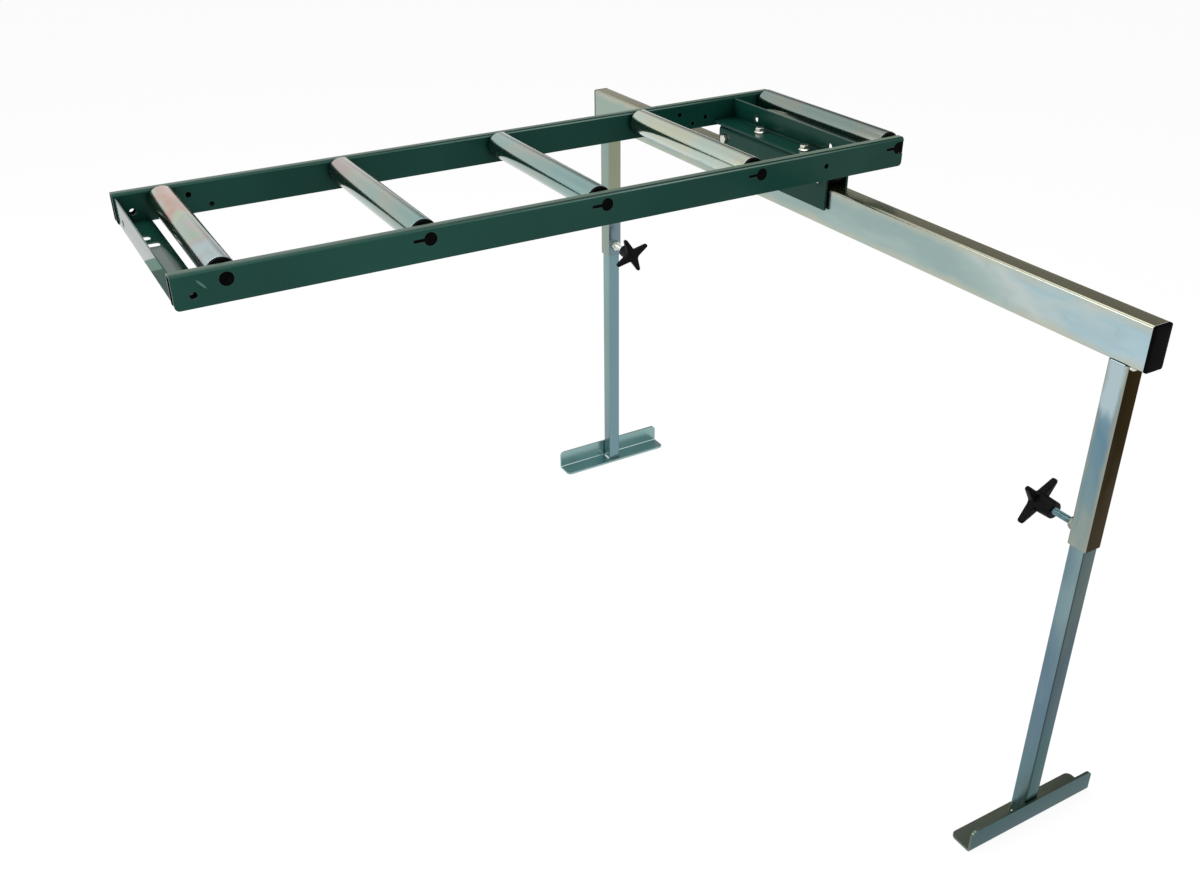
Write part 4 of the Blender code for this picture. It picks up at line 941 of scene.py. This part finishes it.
# %% Fasteners of the carriage
M8_FLATS, M8_RADIUS, M8_PITCH, M8_NUT, M8_PAST = 0.013, 0.004, 0.00125, 0.0068, 0.0098
WHEEL_EDGE = 0.0008


def fastener(name, made, node):
    """A bolt or nut of the table, in bright zinc."""
    place_piece(name, made, BRIGHT_ZINC, "table", [node])


for (label, _), y in zip(SIDES, FRAME_BOLTS):
    centre = (BEAM_X, y, 0.0)
    under, over = SADDLE_TOP - SHEET - GAP, PLATE_BASE + SHEET + GAP
    skirt = [(0.0, over), (0.009, over), (0.0094, over + 0.0003), (0.0094, over + 0.0011),
        (0.009, over + 0.0015), (0.0066, over + 0.003), (0.0, over + 0.003)]
    bolt = joined(lathe(skirt, "Z", centre, closed=False),
                  hexagon(M8_FLATS, over + 0.002, over + 0.008, "Z", centre, 0.3),
                  thread(M8_RADIUS, over + 0.001, under - M8_PAST, "Z", centre, M8_PITCH, plain=0.009))
    nut = hexagon(M8_FLATS, under - M8_NUT, under, "Z", centre, 0.0, M8_BORE)
    fastener("frame_bolt_flanged_" + label, bolt, "frame_bolt_" + label)
    fastener("frame_nut_cut_" + label, nut, "frame_nut_" + label)
for (label, _), y in zip(SIDES, CROSS_BOLTS):
    centre = (0.0, y, CROSS_BOLT_Z)
    head, back = SADDLE_LEFT - GAP, SADDLE_RIGHT + GAP
    bolt = joined(hexagon(M8_FLATS, head - 0.0053, head, "X", centre, 0.4),
                  thread(M8_RADIUS, head - 0.001, back + M8_PAST, "X", centre, M8_PITCH, plain=0.044))
    nut = hexagon(M8_FLATS, back, back + M8_NUT, "X", centre, 0.1, M8_BORE)
    fastener("cross_bolt_threaded_" + label, bolt, "cross_bolt_" + label)
    fastener("cross_nut_cut_" + label, nut, "cross_nut_" + label)
    half, rim = HALF_SADDLE - SHEET - GAP, CARRIAGE_ROLLER - WHEEL_EDGE
    wheel = np.concatenate([[[M8_BORE, -half]], arc(rim, -half + WHEEL_EDGE, WHEEL_EDGE, -90, 0, 5),
        arc(rim, half - WHEEL_EDGE, WHEEL_EDGE, 0, 90, 5), [[M8_BORE, half]]])
    place_piece("carriage_wheel_" + label, lathe(wheel, "X", (BEAM_X, y, CROSS_BOLT_Z)), BLACK,
        "carriage_roller_" + label, ["carriage_roller_" + label])
print("made the carriage's bolts, nuts and rollers")

# %% [markdown]
# ## Clamp knobs
# Each leg is locked by a stud with a four-armed knob. The arms taper from the hub to round tips and
# run into each other with wide hollows. One arm is a tip circle and a fillet, and the straight line
# between them touches both. Turned by quarters it closes, is evened out by length, and is then
# stacked with rounded edges.

# %% Knob outline and shells
ARM_ROOT, ARM_TIP, ARM_REACH, ARM_FILLET = 0.0094, 0.0036, 0.038, 0.008
ARM_EDGE, ARM_THICK, ARM_THINNER = 0.0026, 0.0075, 0.0032
HUB_EDGE, HUB_END, KNOB_OUT = 0.0016, 0.0295, 0.068


def arm_outline(points=320):
    """Four tapered arms: round tips and wide fillets joined by straight flanks, evened by length."""
    taper = math.asin((ARM_ROOT - ARM_TIP) / (ARM_REACH - ARM_TIP))
    lean = math.degrees(taper)
    corner = (ARM_ROOT + ARM_FILLET) / (math.cos(taper) + math.sin(taper))
    arm = np.concatenate([arc(ARM_REACH - ARM_TIP, 0, ARM_TIP, lean - 90, 90 - lean, 24),
        arc(corner, corner, ARM_FILLET, 270 - lean, 180 + lean, 20)])
    quarter = np.array([[0.0, 1.0], [-1.0, 0.0]])
    line = np.concatenate([arm, arm @ quarter, arm @ quarter @ quarter, arm @ quarter.T])
    looped = np.concatenate([line, line[:1]])
    walked = np.concatenate([[0.0], np.cumsum(np.linalg.norm(np.diff(looped, axis=0), axis=1))])
    wanted = np.linspace(0, walked[-1], points, endpoint=False)
    return np.stack([np.interp(wanted, walked, looped[:, k]) for k in (0, 1)], axis=1)


def knob_shell(side, turn):
    """Arms stacked from rounded rows of the outline, and a turned hub that points to the leg."""
    line = arm_outline()
    tangent = np.roll(line, -1, axis=0) - np.roll(line, 1, axis=0)
    normal = np.stack([tangent[:, 1], -tangent[:, 0]], axis=1)
    normal = normal / np.linalg.norm(tangent, axis=1, keepdims=True)
    angle = np.radians(np.linspace(0, 90, 7))
    inset, lift = ARM_EDGE * (1 - np.cos(angle)), ARM_EDGE * np.sin(angle)
    inner = line - normal * ARM_EDGE
    share = np.array([0.86, 0.66, 0.4, 0.15, 0.0])
    thick = ARM_THICK - ARM_THINNER * (np.linalg.norm(line, axis=1) / ARM_REACH)
    upper = np.stack([line - normal * d for d in inset] + [inner * s for s in share])
    height = np.stack([thick - ARM_EDGE + h for h in lift]
                      + [thick * s + ARM_THICK * (1 - s) for s in share])
    rows = np.concatenate([upper[::-1], upper])
    run = np.concatenate([-height[::-1], height])
    c, s = math.cos(turn), math.sin(turn)
    u, v = rows[..., 0] * c - rows[..., 1] * s, rows[..., 0] * s + rows[..., 1] * c
    centre = np.array([BEAM_X, side * (SOCKET_IN - KNOB_OUT), CLAMP_Z])
    arms = shell(lay(u, v, run, "Y") + centre)
    end, floor = side * HUB_END, side * HUB_END - side * 0.018
    hub_edge = np.stack([0.0122 - HUB_EDGE + HUB_EDGE * np.cos(angle),
        end - side * HUB_EDGE + side * HUB_EDGE * np.sin(angle)], axis=1)
    hub = np.concatenate([[[0.0, -side * 0.004], [0.0136, -side * 0.004], [0.013, side * 0.006]], hub_edge,
        [[M10_BORE, end], [M10_BORE, floor], [0.0, floor]]])
    return joined(arms, lathe(hub, "Y", centre, closed=False))


print("knob outline has", len(arm_outline()), "points")

# %% Clamps on both legs
KNOB_TURNS = {"near": math.radians(42), "far": math.radians(25)}
STUD_RADIUS, STUD_LENGTH, CLAMP_FLATS = 0.005, 0.0585, 0.017

for label, side in SIDES:
    place_piece("clamp_knob_moulded_" + label, knob_shell(side, KNOB_TURNS[label]), BLACK,
        "clamp_handle_" + label, ["star_knob_" + label])
    wall, tip = side * SOCKET_IN, side * (LEG_IN - GAP)
    centre = (BEAM_X, 0.0, CLAMP_Z)
    stud = thread(STUD_RADIUS, tip, tip - side * STUD_LENGTH, "Y", centre)
    place_piece("clamp_stud_threaded_" + label, stud, STUD_ZINC[label], "clamp_screw_" + label,
        ["clamp_stud_" + label])
    nut = hexagon(CLAMP_FLATS, wall - side * GAP, wall - side * 0.0093, "Y", centre, math.pi / 6, M10_BORE)
    place_piece("clamp_nut_cut_" + label, nut, NUT_ZINC[label], "stand",
        ["clamp_nut_" + label])
print("made two clamps")

# %% [markdown]
# ## Weld beads
# Sockets and feet are welded. A bead is a small round carried along the joint, half sunk in it, whose
# thickness swells and shrinks with every drop of the weld.

# %% Weld beads
NO_BEAD_WAY = [0.31, 0.17, 0.93]
CROSS_BEADS = ((-0.016, 0.0038), (0.014, 0.002))


def bead(points, radius, drop=0.0022):
    """Bead along a path: radius times one plus a small sine of the way walked, thinner at the ends."""
    points = np.asarray(points, float)
    step = np.linalg.norm(np.diff(points, axis=0), axis=1)
    walked = np.concatenate([[0.0], np.cumsum(step)])
    where = np.linspace(0, walked[-1], max(int(walked[-1] / drop * 6), 12))
    line = np.stack([np.interp(where, walked, points[:, k]) for k in range(3)], axis=1)
    ahead = np.gradient(line, axis=0)
    ahead /= np.linalg.norm(ahead, axis=1, keepdims=True)
    side = np.cross(ahead, NO_BEAD_WAY)
    side /= np.linalg.norm(side, axis=1, keepdims=True)
    up = np.cross(side, ahead)
    ends = np.sqrt(np.clip(np.minimum(where, walked[-1] - where) / radius, 0.02, 1))
    swell = radius * ends * (1 + 0.14 * np.sin(2 * np.pi * where / drop))
    turn = np.linspace(0, 2 * np.pi, 14, endpoint=False)[None, :, None]
    ring = side[:, None] * np.cos(turn) + up[:, None] * np.sin(turn)
    return shell(line[:, None] + ring * swell[:, None, None], caps=True)


def side_beads(apart, y, half, z, radius):
    """Two beads along Y, to the left and right of the beam's middle."""
    return joined(*[bead([(BEAM_X + way * apart, y - half, z), (BEAM_X + way * apart, y + half, z)], radius)
        for way in (-1, 1)])


def cross_beads(y, half, z):
    """Two beads along X, in front of the socket and behind it."""
    return joined(*[bead([(BEAM_X - half, y + off, z), (BEAM_X + half, y + off, z)], radius)
        for off, radius in CROSS_BEADS])


for label, side in SIDES:
    y = side * LEG_Y
    place_piece("socket_weld_" + label, side_beads(0.0152, y, 0.011, BEAM_BASE - 0.0004, 0.0013),
        SOCKET_ZINC[label], "stand")
    place_piece("socket_cross_weld_" + label, cross_beads(y, 0.0135, BEAM_BASE - 0.002), BRIGHT_ZINC,
        "stand")
    place_piece("foot_weld_" + label, side_beads(0.0128, y, 0.009, LEG_BASE + 0.0004, 0.0018), BRIGHT_ZINC,
        "leg_" + label)
print("laid the weld beads")

# %% [markdown]
# ## Studio
# The floor is one pale sheet. For the camera and for mirror-like metal it is nearly white by itself,
# and part of it still takes the soft shadow of the table. The world is a white studio with one dark
# gap between the lamps, high up on the right: it lies above the camera's frame and gives the top of
# the beam its dark tone.

# %% Floor and world
FLOOR_HALF, FLOOR_ROWS, FLOOR_Z, FLOOR_GLOW = 12.0, 25, -0.0004, 0.86
PAPER, GAP_TONE = (0.92, 0.92, 0.92, 1.0), (0.06, 0.06, 0.055)


def studio_floor():
    """Pale sheet: a diffuse share keeps the shadow, a glowing one keeps it white where it is seen."""
    line = np.linspace(-FLOOR_HALF, FLOOR_HALF, FLOOR_ROWS)
    flat = np.full((FLOOR_ROWS, FLOOR_ROWS), FLOOR_Z)
    points = np.stack([*np.meshgrid(line, line, indexing="ij"), flat], axis=-1)
    sheet = to_mesh("studio_floor", shell(points, close_columns=False))
    floor = bpy.data.objects.new("studio_floor", sheet)
    scene.collection.objects.link(floor)
    made, tree, shader = start("studio_paper", 0.0, Roughness=0.9, Base_Color=PAPER)
    rays = add(tree, "LightPath").outputs
    seen = rays["Is Camera Ray"]
    for ray in ("Is Glossy Ray", "Is Transmission Ray"):
        seen = maths("MAXIMUM", seen, rays[ray])
    share = maths("MULTIPLY", seen, FLOOR_GLOW)
    glow = add(tree, "Emission", {"Color": (*WHITE, 1.0), "Strength": 1.0})
    both = add(tree, "MixShader", {0: share, 1: shader.outputs[0], 2: glow.outputs[0]})
    tree.links.new(both.outputs[0], tree.nodes["Material Output"].inputs["Surface"])
    floor.data.materials.append(made)


def studio_world():
    """Soft box of air: white round the horizon, a dark gap between the lamps high on the right."""
    world = bpy.data.worlds.new("studio_air")
    scene.world = world
    world.use_nodes = True
    tree = world.node_tree
    away = add(tree, "TexCoord").outputs["Generated"]
    rise = add(tree, "SeparateXYZ", {0: away}).outputs["Z"]
    height = ramp(rise, [(0.0, 1.0), (0.4, 1.0), (1.0, 0.78)])
    gap = ramp(dot(away, (0.9, 0.42, 0.12)), [(0.62, 0.0), (0.86, 0.9)])
    high = ramp(rise, [(0.09, 0.0), (0.2, 1.0)])
    air = mixed(maths("MULTIPLY", gap, high), height, GAP_TONE)
    tree.links.new(air, tree.nodes["Background"].inputs["Color"])


studio_floor()
studio_world()
print("floor and world ready")

# %% Lamps
def soft_lamp(name, place, target, size, power):
    """Square area lamp that faces a target."""
    lamp = bpy.data.lights.new(name, "AREA")
    lamp.shape, lamp.size, lamp.energy = "SQUARE", size, power
    made = bpy.data.objects.new(name, lamp)
    scene.collection.objects.link(made)
    made.location = place
    x, y, z = np.asarray(target) - np.asarray(place)
    made.rotation_euler = (math.atan2(math.hypot(x, y), -z), 0.0, math.atan2(y, x) - math.pi / 2)


soft_lamp("key_softbox", (-1.6, -1.9, 2.9), (0.0, 0.0, 0.6), 2.2, 52.0)
soft_lamp("left_softbox", (-2.8, 1.4, 2.0), (0.0, 0.1, 0.7), 1.8, 26.0)
soft_lamp("top_softbox", (0.2, 0.2, 3.4), (0.0, 0.0, 0.6), 2.4, 34.0)
print("three lamps set")

# %% [markdown]
# ## Camera
# The camera was fitted to the photograph from the corners of rails, beam, legs and feet: it stands
# about one and a half metres in front, to the left, and looks down by thirty degrees.

# %% Camera
view = bpy.data.cameras.new("photo_camera")
view.sensor_fit, view.sensor_width, view.lens = "HORIZONTAL", 36.0, 36.18
camera = bpy.data.objects.new("photo_camera", view)
scene.collection.objects.link(camera)
camera.location = (-0.75254, -1.4273, 1.38864)
camera.rotation_euler = (1.0455285, 0.0079315, -0.5184922)
scene.camera = camera
print("camera with a lens of", round(view.lens, 1), "mm")
